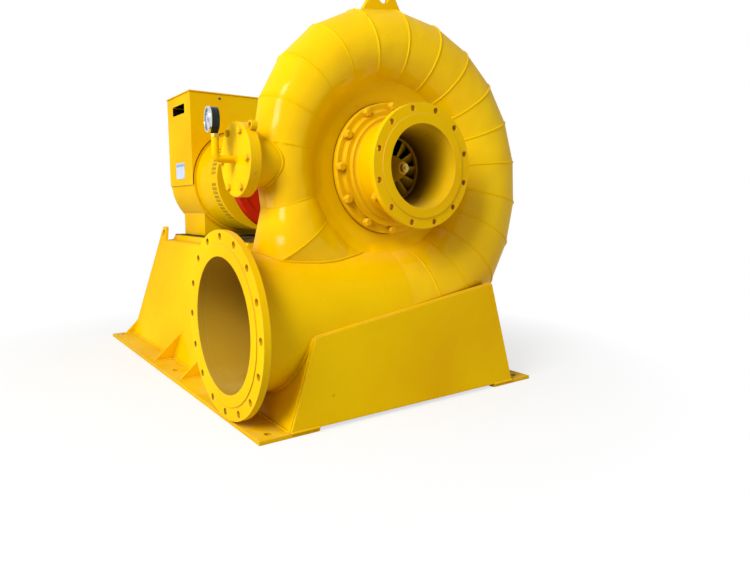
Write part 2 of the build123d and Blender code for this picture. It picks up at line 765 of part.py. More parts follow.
with BuildPart() as blade:
    levels = (-RUNNER_GATE_HALF - BLADE_THICK, 0, RUNNER_GATE_HALF, RUNNER_LENGTH + BLADE_THICK)
    for level, twist in zip(levels, BLADE_TWISTS):
        with BuildSketch(across_shaft(CASING_Y - level)):
            with PolarLocations((RUNNER_R + HUB_R) / 2, 1, start_angle=twist):
                Rectangle(RUNNER_R, BLADE_THICK)
    loft()
    # Trim to the water way, a hair clear of the crown and the band
    with BuildSketch(SHAFT_SECTION):
        with BuildLine():
            crown_line(-BLADE_SEAT)
            band_line(-BLADE_SEAT)
            hub_out = HUB_R + BLADE_SEAT
            Polyline((hub_out, HUB_BLEND), (hub_out, RUNNER_LENGTH))
            Polyline((hub_out, RUNNER_LENGTH), (RUNNER_OUT_R - BLADE_SEAT, RUNNER_LENGTH))
            Polyline((RUNNER_R, RUNNER_GATE_HALF - BLADE_SEAT), (RUNNER_R, -RUNNER_GATE_HALF + BLADE_SEAT))
        make_face()
    revolve(axis=SHAFT_AXIS, mode=Mode.INTERSECT)
    # Blade ends stop short of the rims
    with BuildSketch(across_shaft(CASING_Y - RUNNER_LENGTH + BLADE_THICK)):
        Circle(RUNNER_R - BLADE_THICK)
    extrude(amount=-(RUNNER_LENGTH + RUNNER_R), mode=Mode.INTERSECT)

with BuildPart() as runner_blades:
    for count in range(BLADES):
        add(blade.part.rotate(SHAFT_AXIS, 360.0 * count / BLADES))
finish(runner_blades, "runner_blades")

with BuildPart() as runner_crown:
    with BuildSketch(SHAFT_SECTION):
        with BuildLine():
            crown_line(0)
            Polyline(
                (HUB_R, HUB_BLEND),
                (HUB_R, RUNNER_LENGTH),
                (HUB_TIP_R, HUB_LENGTH),
                (0, HUB_LENGTH),
                (0, NOSE_END + SHAFT_FIT),
                (SHAFT_NOSE_R + SHAFT_FIT, NOSE_END + SHAFT_FIT),
                (SHAFT_NOSE_R + SHAFT_FIT, -RUNNER_GATE_HALF - RUNNER_DISC),
                (RUNNER_R, -RUNNER_GATE_HALF - RUNNER_DISC),
                (RUNNER_R, -RUNNER_GATE_HALF),
            )
        make_face()
    revolve(axis=SHAFT_AXIS)
finish(runner_crown, "runner_crown")

with BuildPart() as runner_band:
    with BuildSketch(SHAFT_SECTION):
        with BuildLine():
            band_line(0)
            band_line(RUNNER_BAND)
            Polyline((RUNNER_OUT_R, RUNNER_LENGTH), (RUNNER_OUT_R + RUNNER_BAND, RUNNER_LENGTH))
            Polyline((RUNNER_R, RUNNER_GATE_HALF), (RUNNER_R, RUNNER_GATE_HALF + RUNNER_BAND))
        make_face()
    revolve(axis=SHAFT_AXIS)
finish(runner_band, "runner_band")

with BuildPart() as runner_nut:
    with BuildSketch(across_shaft(CASING_Y - HUB_LENGTH)):
        RegularPolygon(NUT_R, 6)
    extrude(amount=NUT_LENGTH)
    with BuildSketch(across_shaft(CASING_Y - HUB_LENGTH - NUT_LENGTH)):
        Circle(STUD_R)
    extrude(amount=STUD_LENGTH)
finish(runner_nut, "runner_nut")

with BuildPart() as shaft:
    shaft_back = DRIVE_END_Y + SHAFT_IN_GENERATOR - CASING_Y
    runner_back = RUNNER_GATE_HALF + RUNNER_DISC
    with BuildSketch(SHAFT_SECTION):
        with BuildLine():
            Polyline(
                (0, NOSE_END),
                (SHAFT_NOSE_R, NOSE_END),
                (SHAFT_NOSE_R, -runner_back),
                (SHAFT_R, -runner_back),
                (SHAFT_R, -shaft_back),
                (0, -shaft_back),
                close=True,
            )
        make_face()
    revolve(axis=SHAFT_AXIS)
finish(shaft, "shaft")

with BuildPart() as flywheel:
    with BuildSketch(across_shaft(FLYWHEEL_Y)):
        Circle(FLYWHEEL_R)
        Circle(FLYWHEEL_R - FLYWHEEL_RIM, mode=Mode.SUBTRACT)
    extrude(amount=FLYWHEEL_WIDTH / 2, both=True)
    with BuildSketch(across_shaft(FLYWHEEL_Y)):
        Circle(FLYWHEEL_R - FLYWHEEL_RIM)
    extrude(amount=FLYWHEEL_WEB / 2, both=True)
    with BuildSketch(across_shaft(FLYWHEEL_Y)):
        Circle(FLYWHEEL_HUB_R)
    extrude(amount=FLYWHEEL_HUB_WIDTH / 2, both=True)
    with BuildSketch(across_shaft(FLYWHEEL_Y)):
        Circle(SHAFT_R + SHAFT_FIT)
    extrude(amount=FLYWHEEL_HUB_WIDTH, both=True, mode=Mode.SUBTRACT)
finish(flywheel, "flywheel")


# Generator
with BuildPart() as drive_end:
    with BuildSketch(across_shaft(DRIVE_END_Y)):
        Circle(DRIVE_END_R)
    extrude(amount=-DRIVE_END_LENGTH)
    chamfer(drive_end.edges().sort_by(Axis.Y)[0], length=RAISED_FACE)
    with BuildSketch(across_shaft(DRIVE_END_Y)):
        Circle(SHAFT_R + BEARING_FIT)
    extrude(amount=-(SHAFT_IN_GENERATOR + RUNNER_GAP), mode=Mode.SUBTRACT)
    # Four patches of blind louvre slots round the rim
    patch_span = (LOUVRE_ROWS - 1) * LOUVRE_STEP_ANGLE
    for patch in (LOUVRE_PATCH_ANGLE, -LOUVRE_PATCH_ANGLE, 180 - LOUVRE_PATCH_ANGLE, 180 + LOUVRE_PATCH_ANGLE):
        for column in range(LOUVRE_COLUMNS):
            slot_y = DRIVE_END_Y + LOUVRE_EDGE + column * LOUVRE_PITCH
            with BuildSketch(across_shaft(slot_y)):
                with PolarLocations(
                    DRIVE_END_R,
                    LOUVRE_ROWS,
                    start_angle=patch - patch_span / 2,
                    angular_range=patch_span,
                    endpoint=True,
                ):
                    Rectangle(2 * LOUVRE_DEPTH, LOUVRE_LENGTH)
            extrude(amount=-LOUVRE_WIDTH, mode=Mode.SUBTRACT)
finish(drive_end, "generator_drive_end")

with BuildPart() as frame_body:
    with BuildSketch(across_shaft(FRAME_Y)):
        Circle(FRAME_R)
    extrude(amount=-FRAME_LENGTH)
finish(frame_body, "generator_frame")

with BuildPart() as rear_end:
    with BuildSketch(across_shaft(FRAME_REAR_Y)):
        Circle(REAR_END_R)
    extrude(amount=-REAR_END_LENGTH)
    fillet(rear_end.edges().sort_by(Axis.Y)[-1], radius=REAR_END_LENGTH / 2)
    with BuildSketch(across_shaft(FRAME_REAR_Y + REAR_END_LENGTH)):
        Circle(REAR_CAP_R)
    extrude(amount=-REAR_CAP_LENGTH)
finish(rear_end, "generator_rear_end")

with BuildPart() as frame_room:
    with BuildSketch(across_shaft(FRAME_Y)):
        Circle(FRAME_R + SEAT_GAP)
    extrude(amount=-FRAME_LENGTH)

with BuildPart() as generator_feet:
    with BuildSketch(Plane.XY.offset(BED_TOP)):
        with Locations((0, FRAME_Y + FRAME_LENGTH / 2)):
            Rectangle(2 * FEET_HALF, FRAME_LENGTH - 2 * FEET_INSET)
    extrude(amount=AXIS_Z - FRAME_R / 2 - BED_TOP)
    add(frame_room.part, mode=Mode.SUBTRACT)
finish(generator_feet, "generator_feet")

box_bottom = AXIS_Z - BOX_SKIRT
box_body_top = BOX_TOP - BOX_LID
slot_y = FRAME_Y + FRAME_LENGTH / 2
slot_z = BOX_TOP - SLOT_BELOW_TOP
with BuildPart() as terminal_box:
    with BuildSketch(Plane.XY.offset(box_bottom)):
        with Locations((0, FRAME_Y + FRAME_LENGTH / 2)):
            Rectangle(2 * BOX_HALF, FRAME_LENGTH)
    extrude(amount=box_body_top - box_bottom)
    add(frame_room.part, mode=Mode.SUBTRACT)
    with BuildSketch(facing_inlet(-BOX_HALF, slot_y, slot_z), facing_inlet(BOX_HALF - SLOT_DEPTH, slot_y, slot_z)):
        RectangleRounded(SLOT_LENGTH, SLOT_HEIGHT, SLOT_CORNER)
    extrude(amount=-SLOT_DEPTH, mode=Mode.SUBTRACT)
finish(terminal_box, "terminal_box")

with BuildPart() as box_lid:
    with BuildSketch(Plane.XY.offset(box_body_top)):
        with Locations((0, FRAME_Y + FRAME_LENGTH / 2)):
            Rectangle(2 * (BOX_HALF + BOX_LID_LIP), FRAME_LENGTH + 2 * BOX_LID_LIP)
    extrude(amount=BOX_LID)
    chamfer(box_lid.edges().group_by(Axis.Z)[-1], length=BOX_LID / 3)
finish(box_lid, "terminal_box_lid")

with BuildPart() as nameplate:
    with BuildSketch(facing_inlet(-BOX_HALF, slot_y, AXIS_Z + NAMEPLATE_ABOVE_AXIS)):
        RectangleRounded(NAMEPLATE_LENGTH, NAMEPLATE_HEIGHT, NAMEPLATE_THICK)
    extrude(amount=NAMEPLATE_THICK)
finish(nameplate, "nameplate")
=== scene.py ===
import math

import bmesh
import bpy
from mathutils import Matrix, Vector
from mathutils.bvhtree import BVHTree


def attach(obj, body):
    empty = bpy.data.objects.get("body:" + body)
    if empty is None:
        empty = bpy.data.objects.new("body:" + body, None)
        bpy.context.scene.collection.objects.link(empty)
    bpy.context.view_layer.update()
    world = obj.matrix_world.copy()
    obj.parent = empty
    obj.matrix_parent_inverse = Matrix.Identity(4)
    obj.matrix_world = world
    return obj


# Looks of a small Francis turbine and generator set. Metres, in the frame of the solids.

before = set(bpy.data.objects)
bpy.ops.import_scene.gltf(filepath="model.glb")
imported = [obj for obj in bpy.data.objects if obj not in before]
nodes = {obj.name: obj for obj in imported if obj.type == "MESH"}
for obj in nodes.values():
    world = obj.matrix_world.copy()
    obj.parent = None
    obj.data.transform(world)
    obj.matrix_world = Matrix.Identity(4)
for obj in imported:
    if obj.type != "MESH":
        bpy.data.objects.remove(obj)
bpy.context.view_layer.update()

MM = 0.001

# Sizes repeated from the solids: casing and inlet
AXIS_Z = 0.768
CASING_Y = -0.6347
INLET_R = 0.213
INLET_Z = 0.297
INLET_BACK_X = -0.538
CASING_INNER = 0.258
CASING_TAPER = 0.453 * MM
RISING_PLATE = 15.76
FALLING_PLATE = 17.2
CROWN_SEAM = 157.6
TAIL_START = 260.8
RING_HALF = 0.064
LUG_LEFT = -0.066
LUG_LENGTH = 0.176
# Radius of the tube at the tail's seams and half width of the casing, both by angle in degrees
TAIL_SEAMS = {287.24: 0.090, 304.44: 0.150}
HALF_WIDTHS = ((0, 0.213), (260.8, 0.095), (287.24, 0.090), (304.44, 0.118), (344, 0.100), (360, 0.213))

# Covers, draft pipe and gland. Distances along the shaft are from the casing's middle.
COVER_FACE = 0.084
COVER_R = 0.211
COVER_HUB_R = 0.186
COVER_HUB_END = 0.098
COVER_NECK_R = 0.166
COVER_BOLT_R = 0.198
DRAFT_PIPE_R = 0.150
DRAFT_PIPE_START = 0.106
DRAFT_PIPE_END = 0.232
GLAND_BACK = -0.146
GLAND_STUD_R = 0.085

# Branch and gauge
BRANCH_Z = 0.781
BRANCH_R = 0.079
BRANCH_FACE_X = -0.505
BRANCH_BACK_X = -0.471
BRANCH_BOLT_R = 0.091
GAUGE_X = -0.563
GAUGE_Z = 0.889
GAUGE_REACH = 0.021
GAUGE_TURN = 8.0
GAUGE_PIPE_TOP = 0.843

# Base. A gusset is (rear face, height, reach).
FOOT_TOP = 0.012
FOOT_INNER = 0.363
BASE_FRONT = -0.860
BASE_REAR = 0.840
PLATE = 0.012
SIDE_FOOT = 0.455
SIDE_DECK = 0.307
SIDE_PLATE_LEVEL = 0.0126
DECK_TOP = 0.478
FRONT_LEFT_TOP = 0.275
FRONT_RIGHT_TOP = 0.378
BULKHEAD_Y = -0.4097
BED_FRONT = -0.110
BED_REAR = 0.800
BED_HALF = 0.250
GUSSETS = ((-0.1417, 0.110, 0.086), (0.1903, 0.110, 0.086), (0.840, 0.062, 0.043))
GUSSET_PLATE = 0.010
LEAN = (SIDE_FOOT - SIDE_DECK) / (DECK_TOP - FOOT_TOP)

# Bearing, generator and box
BEARING_Y = -0.2997
BEARING_TOP = 0.850
BEARING_LUG_TOP = 0.737
BEARING_BOLT_X = 0.122
BEARING_BOLT_ROWS = (-0.335, -0.2645)
BOX_FRONT = 0.479
BOX_REAR = 0.811
BOX_HALF = 0.248
LID_SCREW_X = 0.105
LID_SCREW_Z = 1.152
SLOT_Y = 0.645
SLOT_Z = 1.106
SLOT_HALF = 0.086
SLOT_RISE = 0.022
SLOT_DEPTH = 0.060
NAMEPLATE_X = -BOX_HALF - 0.002
DRIVE_END_Y = 0.223
DRIVE_END_R = 0.231
LOUVRE_NEAR = 0.014
LOUVRE_FAR = 0.066
FRAME_R = 0.243
REAR_END_Y = 0.841
END_BOLT_R = 0.195

# Fillet round the stay ring: reach inwards, largest height, its share of a narrow wall, steps across,
# degrees off the seams, height at which its foot is looked for, depth of its inner edge
FILLET_REACH = 0.040
FILLET_RISE = 0.034
FILLET_SHARE = 0.55
FILLET_STEPS = 7
FILLET_START = 0.3
FOOT_LIFT = 0.0015
EDGE_SUNK = 0.0015

# Trim goes this far into the solid below it, and beads stand this far off a corner
SUNK = 0.002
BEAD_LIFT = 0.001

FRONTWARD = Vector((0, -1, 0))
BACKWARD = Vector((0, 1, 0))
LEFTWARD = Vector((-1, 0, 0))
UPWARD = Vector((0, 0, 1))


def side_half(z):
    """Half width of the base over its side plates at height z."""
    return SIDE_FOOT - LEAN * (z - FOOT_TOP)


# Materials

YELLOW = "#EEC200"
YELLOW_DEEP = "#E4AE00"
DUST = "#E6D592"
PAINT = (YELLOW, YELLOW_DEEP, DUST)
SPECK = "#8A6410"
GRIME_AND_SHADE = "#A87A1E"
WHITE = (1, 1, 1, 1)

# Sockets of a colour Mix node
FACTOR, FIRST, SECOND, MIXED = 0, 6, 7, 2


def linear(code):
    """Linear colour of an sRGB hex code."""
    parts = [int(code[i : i + 2], 16) / 255 for i in (1, 3, 5)]
    return [c / 12.92 if c <= 0.04045 else ((c + 0.055) / 1.055) ** 2.4 for c in parts] + [1.0]


def add_node(tree, kind, sockets=None, **settings):
    """One node with its settings and socket values. A value that is a socket is linked."""
    node = tree.nodes.new(kind)
    for key, value in settings.items():
        setattr(node, key, value)
    for key, value in (sockets or {}).items():
        if isinstance(value, bpy.types.NodeSocket):
            tree.links.new(value, node.inputs[key])
        else:
            node.inputs[key].default_value = value
    return node


def start_material(name):
    """A node material that is empty but for its object coordinates."""
    material = bpy.data.materials.new(name)
    material.use_nodes = True
    tree = material.node_tree
    tree.nodes.clear()
    place = add_node(tree, "ShaderNodeTexCoord").outputs["Object"]
    return material, tree, place


# Alkyd enamel sprayed over primed and welded steel. The eye sees a strong even yellow with slow
# shifts of tone, grime and painted shade in corners, lighter edges, a little dust on top and soft wavy
# reflections.
def enamel(name, body, deep, dust, roughness, wave=1.0, inside=None, sink=None, coat=0.08):
    """Gloss enamel. inside gives a bore its lining with painted shade in its depth, sink paints shade along
    an axis from a start to an end.
    """
    material, tree, place = start_material(name)
    # Coats laid on by hand differ slowly, spray mottles finely, specks of dirt lie far apart and dust
    # in patches, gloss is cloudy: (grain in metres, detail, from, to, least, most)
    patterns = {
        "coats": (0.45, 4.0, 0.35, 0.68, 0.0, 1.0),
        "mottle": (0.018, 5.0, 0.3, 0.75, 0.0, 0.16),
        "specks": (0.022, 2.0, 0.73, 0.79, 0.0, 0.35),
        "patches": (0.06, 6.0, 0.35, 0.7, 0.0, 1.0),
        "gloss": (0.03, 4.0, 0.3, 0.7, roughness - 0.05, roughness + 0.07),
    }
    shares = {}
    for label, (grain, detail, low, high, least, most) in patterns.items():
        sockets = {"Vector": place, "Scale": 1 / grain, "Detail": detail}
        noise = add_node(tree, "ShaderNodeTexNoise", sockets).outputs["Fac"]
        sockets = {"Value": noise, "From Min": low, "From Max": high, "To Min": least, "To Max": most}
        shares[label] = add_node(tree, "ShaderNodeMapRange", sockets).outputs["Result"]
    # Layers over the body colour, from the lowest up: (share, colour, blend)
    layers = [(shares["coats"], linear(deep), "MIX"), (shares["mottle"], linear(deep), "MIX")]
    normal = add_node(tree, "ShaderNodeNewGeometry").outputs["Normal"]
    if inside is not None:
        # Faces that look towards the bore's own axis take its lining, with painted shade that darkens it with
        # depth
        centre, weights, lining, depth_axis, shallow, deep_at, depth_shade_colour = inside
        sockets = {0: place, 1: centre}
        spoke = add_node(tree, "ShaderNodeVectorMath", sockets, operation="SUBTRACT").outputs[0]
        sockets = {0: spoke, 1: weights}
        spoke = add_node(tree, "ShaderNodeVectorMath", sockets, operation="MULTIPLY").outputs[0]
        spoke = add_node(tree, "ShaderNodeVectorMath", {0: spoke}, operation="NORMALIZE").outputs[0]
        sockets = {0: spoke, 1: normal}
        facing = add_node(tree, "ShaderNodeVectorMath", sockets, operation="DOT_PRODUCT").outputs["Value"]
        sockets = {"Value": facing, "From Min": -0.25, "From Max": -0.6}
        inner = add_node(tree, "ShaderNodeMapRange", sockets).outputs["Result"]
        along = add_node(tree, "ShaderNodeSeparateXYZ", {0: place}).outputs[depth_axis]
        sockets = {"Value": along, "From Min": shallow, "From Max": deep_at}
        depth = add_node(tree, "ShaderNodeMapRange", sockets).outputs["Result"]
        sockets = {FACTOR: depth, FIRST: linear(lining), SECOND: linear(depth_shade_colour)}
        wall = add_node(tree, "ShaderNodeMix", sockets, data_type="RGBA").outputs[MIXED]
        layers.append((inner, wall, "MIX"))
    if sink is not None:
        # Painted shade, darker along an axis towards the colour at its end
        sink_axis, start, end, shade_colour = sink
        along = add_node(tree, "ShaderNodeSeparateXYZ", {0: place}).outputs[sink_axis]
        sockets = {"Value": along, "From Min": start, "From Max": end}
        depth = add_node(tree, "ShaderNodeMapRange", sockets).outputs["Result"]
        layers.append((depth, linear(shade_colour), "MIX"))
    layers.append((shares["specks"], linear(SPECK), "MIX"))
    # Paint rounds every edge by about 2.5 mm and is rubbed lighter there
    edge = add_node(tree, "ShaderNodeBevel", {"Radius": 0.0025}, samples=4).outputs[0]
    sockets = {0: edge, 1: normal}
    flat = add_node(tree, "ShaderNodeVectorMath", sockets, operation="DOT_PRODUCT").outputs["Value"]
    sockets = {"Value": flat, "From Min": 0.98, "From Max": 0.85, "To Max": 0.28}
    rubbed = add_node(tree, "ShaderNodeMapRange", sockets).outputs["Result"]
    layers.append((rubbed, linear(dust), "MIX"))
    # Grime and painted shade darken corners narrower than 30 mm
    corner = add_node(tree, "ShaderNodeAmbientOcclusion", {"Distance": 0.03}, samples=6)
    sockets = {"Value": corner.outputs["AO"], "From Min": 0.2, "From Max": 0.85}
    sockets.update({"To Min": 0.45, "To Max": 0.0})
    grime_and_shade = add_node(tree, "ShaderNodeMapRange", sockets).outputs["Result"]
    layers.append((grime_and_shade, linear(GRIME_AND_SHADE), "MULTIPLY"))
    # Dust settles on what faces up
    upward = add_node(tree, "ShaderNodeSeparateXYZ", {0: normal}).outputs["Z"]
    sockets = {"Value": upward, "From Min": 0.75, "From Max": 1.0, "To Max": 0.16}
    level = add_node(tree, "ShaderNodeMapRange", sockets).outputs["Result"]
    sockets = {0: level, 1: shares["patches"]}
    settled = add_node(tree, "ShaderNodeMath", sockets, operation="MULTIPLY").outputs[0]
    layers.append((settled, linear(dust), "MIX"))
    tone = linear(body)
    for share, colour, blend in layers:
        sockets = {FACTOR: share, FIRST: tone, SECOND: colour}
        tone = add_node(tree, "ShaderNodeMix", sockets, data_type="RGBA", blend_type=blend).outputs[MIXED]
    # Sheet waves over 90 mm, orange peel has 2 mm grains
    sheet = add_node(tree, "ShaderNodeTexNoise", {"Vector": place, "Scale": 1 / 0.09, "Detail": 1.0})
    sockets = {"Height": sheet.outputs["Fac"], "Strength": 0.12 * wave, "Distance": 0.006, "Normal": edge}
    waved = add_node(tree, "ShaderNodeBump", sockets).outputs[0]
    peel = add_node(tree, "ShaderNodeTexNoise", {"Vector": place, "Scale": 1 / 0.0022, "Detail": 2.0})
    sockets = {"Height": peel.outputs["Fac"], "Strength": 0.05, "Distance": 0.0004, "Normal": waved}
    skin = add_node(tree, "ShaderNodeBump", sockets).outputs[0]
    sockets = {"Base Color": tone, "Roughness": shares["gloss"], "Specular IOR Level": 0.0, "Normal": skin}
    sockets.update({"Coat Weight": coat, "Coat Roughness": 0.11, "Coat Normal": skin})
    shader = add_node(tree, "ShaderNodeBsdfPrincipled", sockets).outputs[0]
    add_node(tree, "ShaderNodeOutputMaterial", {"Surface": shader})
    return material


def mottled(tree, where, grain, light, dark, relief):
    """Colour and relief of a mottle with grains of a size in metres."""
    sockets = {"Vector": where, "Scale": 1 / grain, "Detail": 4.0}
    marks = add_node(tree, "ShaderNodeTexNoise", sockets).outputs["Fac"]
    sockets = {"Value": marks, "From Min": 0.3, "From Max": 0.7}
    share = add_node(tree, "ShaderNodeMapRange", sockets).outputs["Result"]
    sockets = {FACTOR: share, FIRST: linear(light), SECOND: linear(dark)}
    tone = add_node(tree, "ShaderNodeMix", sockets, data_type="RGBA").outputs[MIXED]
    sockets = {"Height": marks, "Strength": relief, "Distance": 0.0003}
    return tone, add_node(tree, "ShaderNodeBump", sockets).outputs[0]


# Machined, cast or plated metal. The eye sees fine marks that run round or along the piece.
def bare_metal(name, light, dark, roughness, grain):
    """Metal with marks 4 mm apart, drawn out along Y by grain."""
    material, tree, place = start_material(name)
    sockets = {"Vector": place, "Scale": (1.0, grain, 1.0)}
    drawn = add_node(tree, "ShaderNodeMapping", sockets).outputs[0]
    tone, skin = mottled(tree, drawn, 0.004, light, dark, 0.08)
    # Gloss clouds over about 20 mm
    cloud = add_node(tree, "ShaderNodeTexNoise", {"Vector": place, "Scale": 1 / 0.02, "Detail": 4.0})
    sockets = {"Value": cloud.outputs["Fac"], "From Min": 0.3, "From Max": 0.7}
    sockets.update({"To Min": roughness - 0.04, "To Max": roughness + 0.08})
    gloss = add_node(tree, "ShaderNodeMapRange", sockets).outputs["Result"]
    sockets = {"Base Color": tone, "Metallic": 1.0, "Roughness": gloss, "Normal": skin}
    shader = add_node(tree, "ShaderNodeBsdfPrincipled", sockets).outputs[0]
    add_node(tree, "ShaderNodeOutputMaterial", {"Surface": shader})
    return material


# Moulded plastic, printed card, dirt or a deep shadow. The eye sees a nearly even colour.
def even_finish(name, light, dark, roughness, grain, sheen=0.25):
    """Non-metal with a faint mottle of the given grain in metres."""
    material, tree, place = start_material(name)
    tone, skin = mottled(tree, place, grain, light, dark, 0.04)
    sockets = {"Base Color": tone, "Roughness": roughness, "Specular IOR Level": sheen, "Normal": skin}
    shader = add_node(tree, "ShaderNodeBsdfPrincipled", sockets).outputs[0]
    add_node(tree, "ShaderNodeOutputMaterial", {"Surface": shader})
    return material


# Window glass of the gauge: clear, with a sharp sheen that smears a little.
def window_glass(name):
    """Thin glass, mostly see-through."""
    material, tree, place = start_material(name)
    sockets = {"Vector": place, "Scale": 1 / 0.008, "Detail": 3.0}
    smear = add_node(tree, "ShaderNodeTexNoise", sockets).outputs["Fac"]
    sockets = {"Value": smear, "From Min": 0.3, "From Max": 0.7, "To Min": 0.04, "To Max": 0.10}
    gloss = add_node(tree, "ShaderNodeMapRange", sockets).outputs["Result"]
    clear = add_node(tree, "ShaderNodeBsdfTransparent", {"Color": (0.96, 0.97, 0.97, 1.0)}).outputs[0]
    sheen = add_node(tree, "ShaderNodeBsdfGlossy", {"Roughness": gloss}).outputs[0]
    both = add_node(tree, "ShaderNodeMixShader", {0: 0.10, 1: clear, 2: sheen}).outputs[0]
    add_node(tree, "ShaderNodeOutputMaterial", {"Surface": both})
    return material


# A bore is (centre, share of each axis in its radius, lining, depth axis, from, to, painted shade colour in
# its depth), a sink of painted shade is (axis, from, to, colour at its end)
inlet_inside = ((0, CASING_Y, INLET_Z), (0, 1, 1), "#BC9226", "X", -0.50, 0.0, "#7A5A22")
draft_inside = ((0, 0, AXIS_Z), (1, 0, 1), "#D9AC0E", "Y", -0.86, -0.74, "#4A3008")
runner_painted_shade = ("Y", -0.728, -0.700, "#160F04")
bed_painted_shade = ("Z", 0.501, 0.507, "#33240C")

# Thick plates and castings: an even, fairly glossy yellow
yellow = enamel("yellow_enamel_on_welded_steel", *PAINT, roughness=0.24)
# Casing: long bright reflections that wander with the waves of the plates
yellow_casing = enamel("yellow_enamel_on_rolled_plates", *PAINT, roughness=0.22, wave=10.0, coat=0.2)
# Pipes: yellow outside, with a browner bore that painted shade darkens with depth
yellow_inlet = enamel("yellow_enamel_on_inlet_pipe", *PAINT, roughness=0.24, inside=inlet_inside)
yellow_draft = enamel("yellow_enamel_on_draft_pipe", *PAINT, roughness=0.24, wave=0.6, inside=draft_inside)
# Thin plates: duller, with slack waves
yellow_sheet = enamel("yellow_enamel_on_sheet_metal", *PAINT, roughness=0.28, wave=1.6)
# Beads and bolts: small sharp glints, the bolts a little browner
yellow_weld = enamel("yellow_enamel_on_weld", *PAINT, roughness=0.22, wave=0.2)
yellow_bolt = enamel("yellow_enamel_on_fasteners", YELLOW, "#DCA404", DUST, roughness=0.24, wave=0.2)
# Runner: dull worn yellow at its outlet, turned nearly black further in by painted shade
primer = ("#E4B61C", "#C4961A", "#B09A60")
runner_coat = enamel("worn_yellow_primer_on_runner_with_painted_shade", *primer, roughness=0.34, wave=0.6, sink=runner_painted_shade)
# Bed: painted shade turns its top nearly black
yellow_bed = enamel("yellow_enamel_on_bed_with_painted_shade", *PAINT, roughness=0.24, sink=bed_painted_shade)
# Flywheel: a deep warm red
red = enamel("red_enamel_on_flywheel", "#C82A0C", "#A81E08", "#B9775F", roughness=0.26)
# Bright lathe-turned grey, dark oily grey, a mirror, dull yellowish plate and warm drawn yellow
turned_steel = bare_metal("turned_shaft_steel", "#C9C8C4", "#96948F", roughness=0.28, grain=8.0)
oiled_iron = bare_metal("oiled_cast_iron", "#6A6762", "#3C3A37", roughness=0.42, grain=1.0)
chrome = bare_metal("chrome_plate", "#E6E8EA", "#C4C8CC", roughness=0.10, grain=1.0)
zinc = bare_metal("zinc_plated_nut", "#C8AE58", "#A08840", roughness=0.36, grain=1.0)
brass = bare_metal("drawn_brass", "#D8B25A", "#A9822F", roughness=0.26, grain=3.0)
# Gauge: shiny black, cold white, ink, red and a clear pane
black_case = even_finish("black_moulded_case", "#12201C", "#0A100E", roughness=0.28, grain=0.01)
dial_card = even_finish("white_dial_card", "#C9D0DA", "#B7BFCB", roughness=0.45, grain=0.01)
dial_ink = even_finish("black_dial_print", "#1A1A1A", "#2A2A2A", roughness=0.5, grain=0.004)
needle_paint = even_finish("red_needle_paint", "#B3241A", "#8E1A12", roughness=0.4, grain=0.004)
gauge_glass = window_glass("gauge_window_glass")
# Blank plate: cold pale blue with a darker band
plate_blank = even_finish("blank_printed_plate", "#CAD6EC", "#B4C4E2", roughness=0.38, grain=0.03)
plate_band = even_finish("plain_band_on_plate", "#8FA6CC", "#7C94BE", roughness=0.4, grain=0.02)
# Slots, louvres and gaps: black painted shade without any shine. Joints: brown dirt without any shine
deep_shade = even_finish("black_painted_shade", "#1C1608", "#120E06", roughness=0.8, grain=0.02, sheen=0.0)
joint_dirt = even_finish("brown_dirt_in_joint", "#6A4C14", "#4E360A", roughness=0.8, grain=0.01, sheen=0.0)

finishes = {
    "inlet_pipe": yellow_inlet,
    "inlet_flange": yellow_inlet,
    "draft_pipe": yellow_draft,
    "draft_flange": yellow_draft,
    "draft_cover": yellow_draft,
    "guide_vanes": oiled_iron,
    "shaft_gland": oiled_iron,
    "shaft": turned_steel,
    "runner_crown": runner_coat,
    "runner_band": runner_coat,
    "runner_blades": runner_coat,
    "runner_nut": zinc,
    "generator_bed": yellow_bed,
    "flywheel": red,
    "gauge_case": black_case,
    "gauge_dial": dial_card,
    "nameplate": plate_blank,
    "terminal_box": yellow_sheet,
    "terminal_box_lid": yellow_sheet,
    "base_front_plate": yellow_sheet,
}
casing_sections = [f"spiral_section_{k}" for k in range(1, 6)]
finishes.update({section: yellow_casing for section in casing_sections})
for name, node in nodes.items():
    node.data.materials.clear()
    node.data.materials.append(finishes.get(name, yellow))


# Making pieces

# Points closer than this are one point
SAME_POINT = 1e-7
# Turned pieces with more sides than this are shaded round, with a sharp edge at every larger turn
FLAT_SIDES = 12
SHARP_TURN = 35
# A hexagon looks the same after this turn, in radians
HEX_TURN = 1.05


def piece(name, mesh, material=None, body="plant"):
    """A finished piece at the origin that rides on a body."""
    mesh.name = name
    if material is not None:
        mesh.materials.clear()
        mesh.materials.append(material)
    made = bpy.data.objects.new(name, mesh)
    bpy.context.scene.collection.objects.link(made)
    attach(made, body)


def lathe(profile, sides, turn=None):
    """Mesh turned about Z from (radius, height) points, then moved by a matrix."""
    mesh = bpy.data.meshes.new("lathe")
    build = bmesh.new()
    angles = [2 * math.pi * k / sides for k in range(sides)]
    rings = []
    for radius, height in profile:
        if radius <= SAME_POINT:
            rings.append([build.verts.new((0, 0, height))])
            continue
        rings.append([build.verts.new((radius * math.cos(a), radius * math.sin(a), height)) for a in angles])
    for low, high in zip(rings, rings[1:]):
        for k in range(sides):
            corners = [low[k % len(low)], low[(k + 1) % len(low)]]
            corners += [high[(k + 1) % len(high)], high[k % len(high)]]
            corners = list(dict.fromkeys(corners))
            if len(corners) > 2:
                build.faces.new(corners)
    bmesh.ops.remove_doubles(build, verts=build.verts, dist=SAME_POINT)
    bmesh.ops.recalc_face_normals(build, faces=build.faces)
    for face in build.faces:
        face.smooth = sides > FLAT_SIDES
    build.to_mesh(mesh)
    build.free()
    if turn is not None:
        mesh.transform(turn)
    if sides > FLAT_SIDES:
        mesh.set_sharp_from_angle(angle=math.radians(SHARP_TURN))
    return mesh


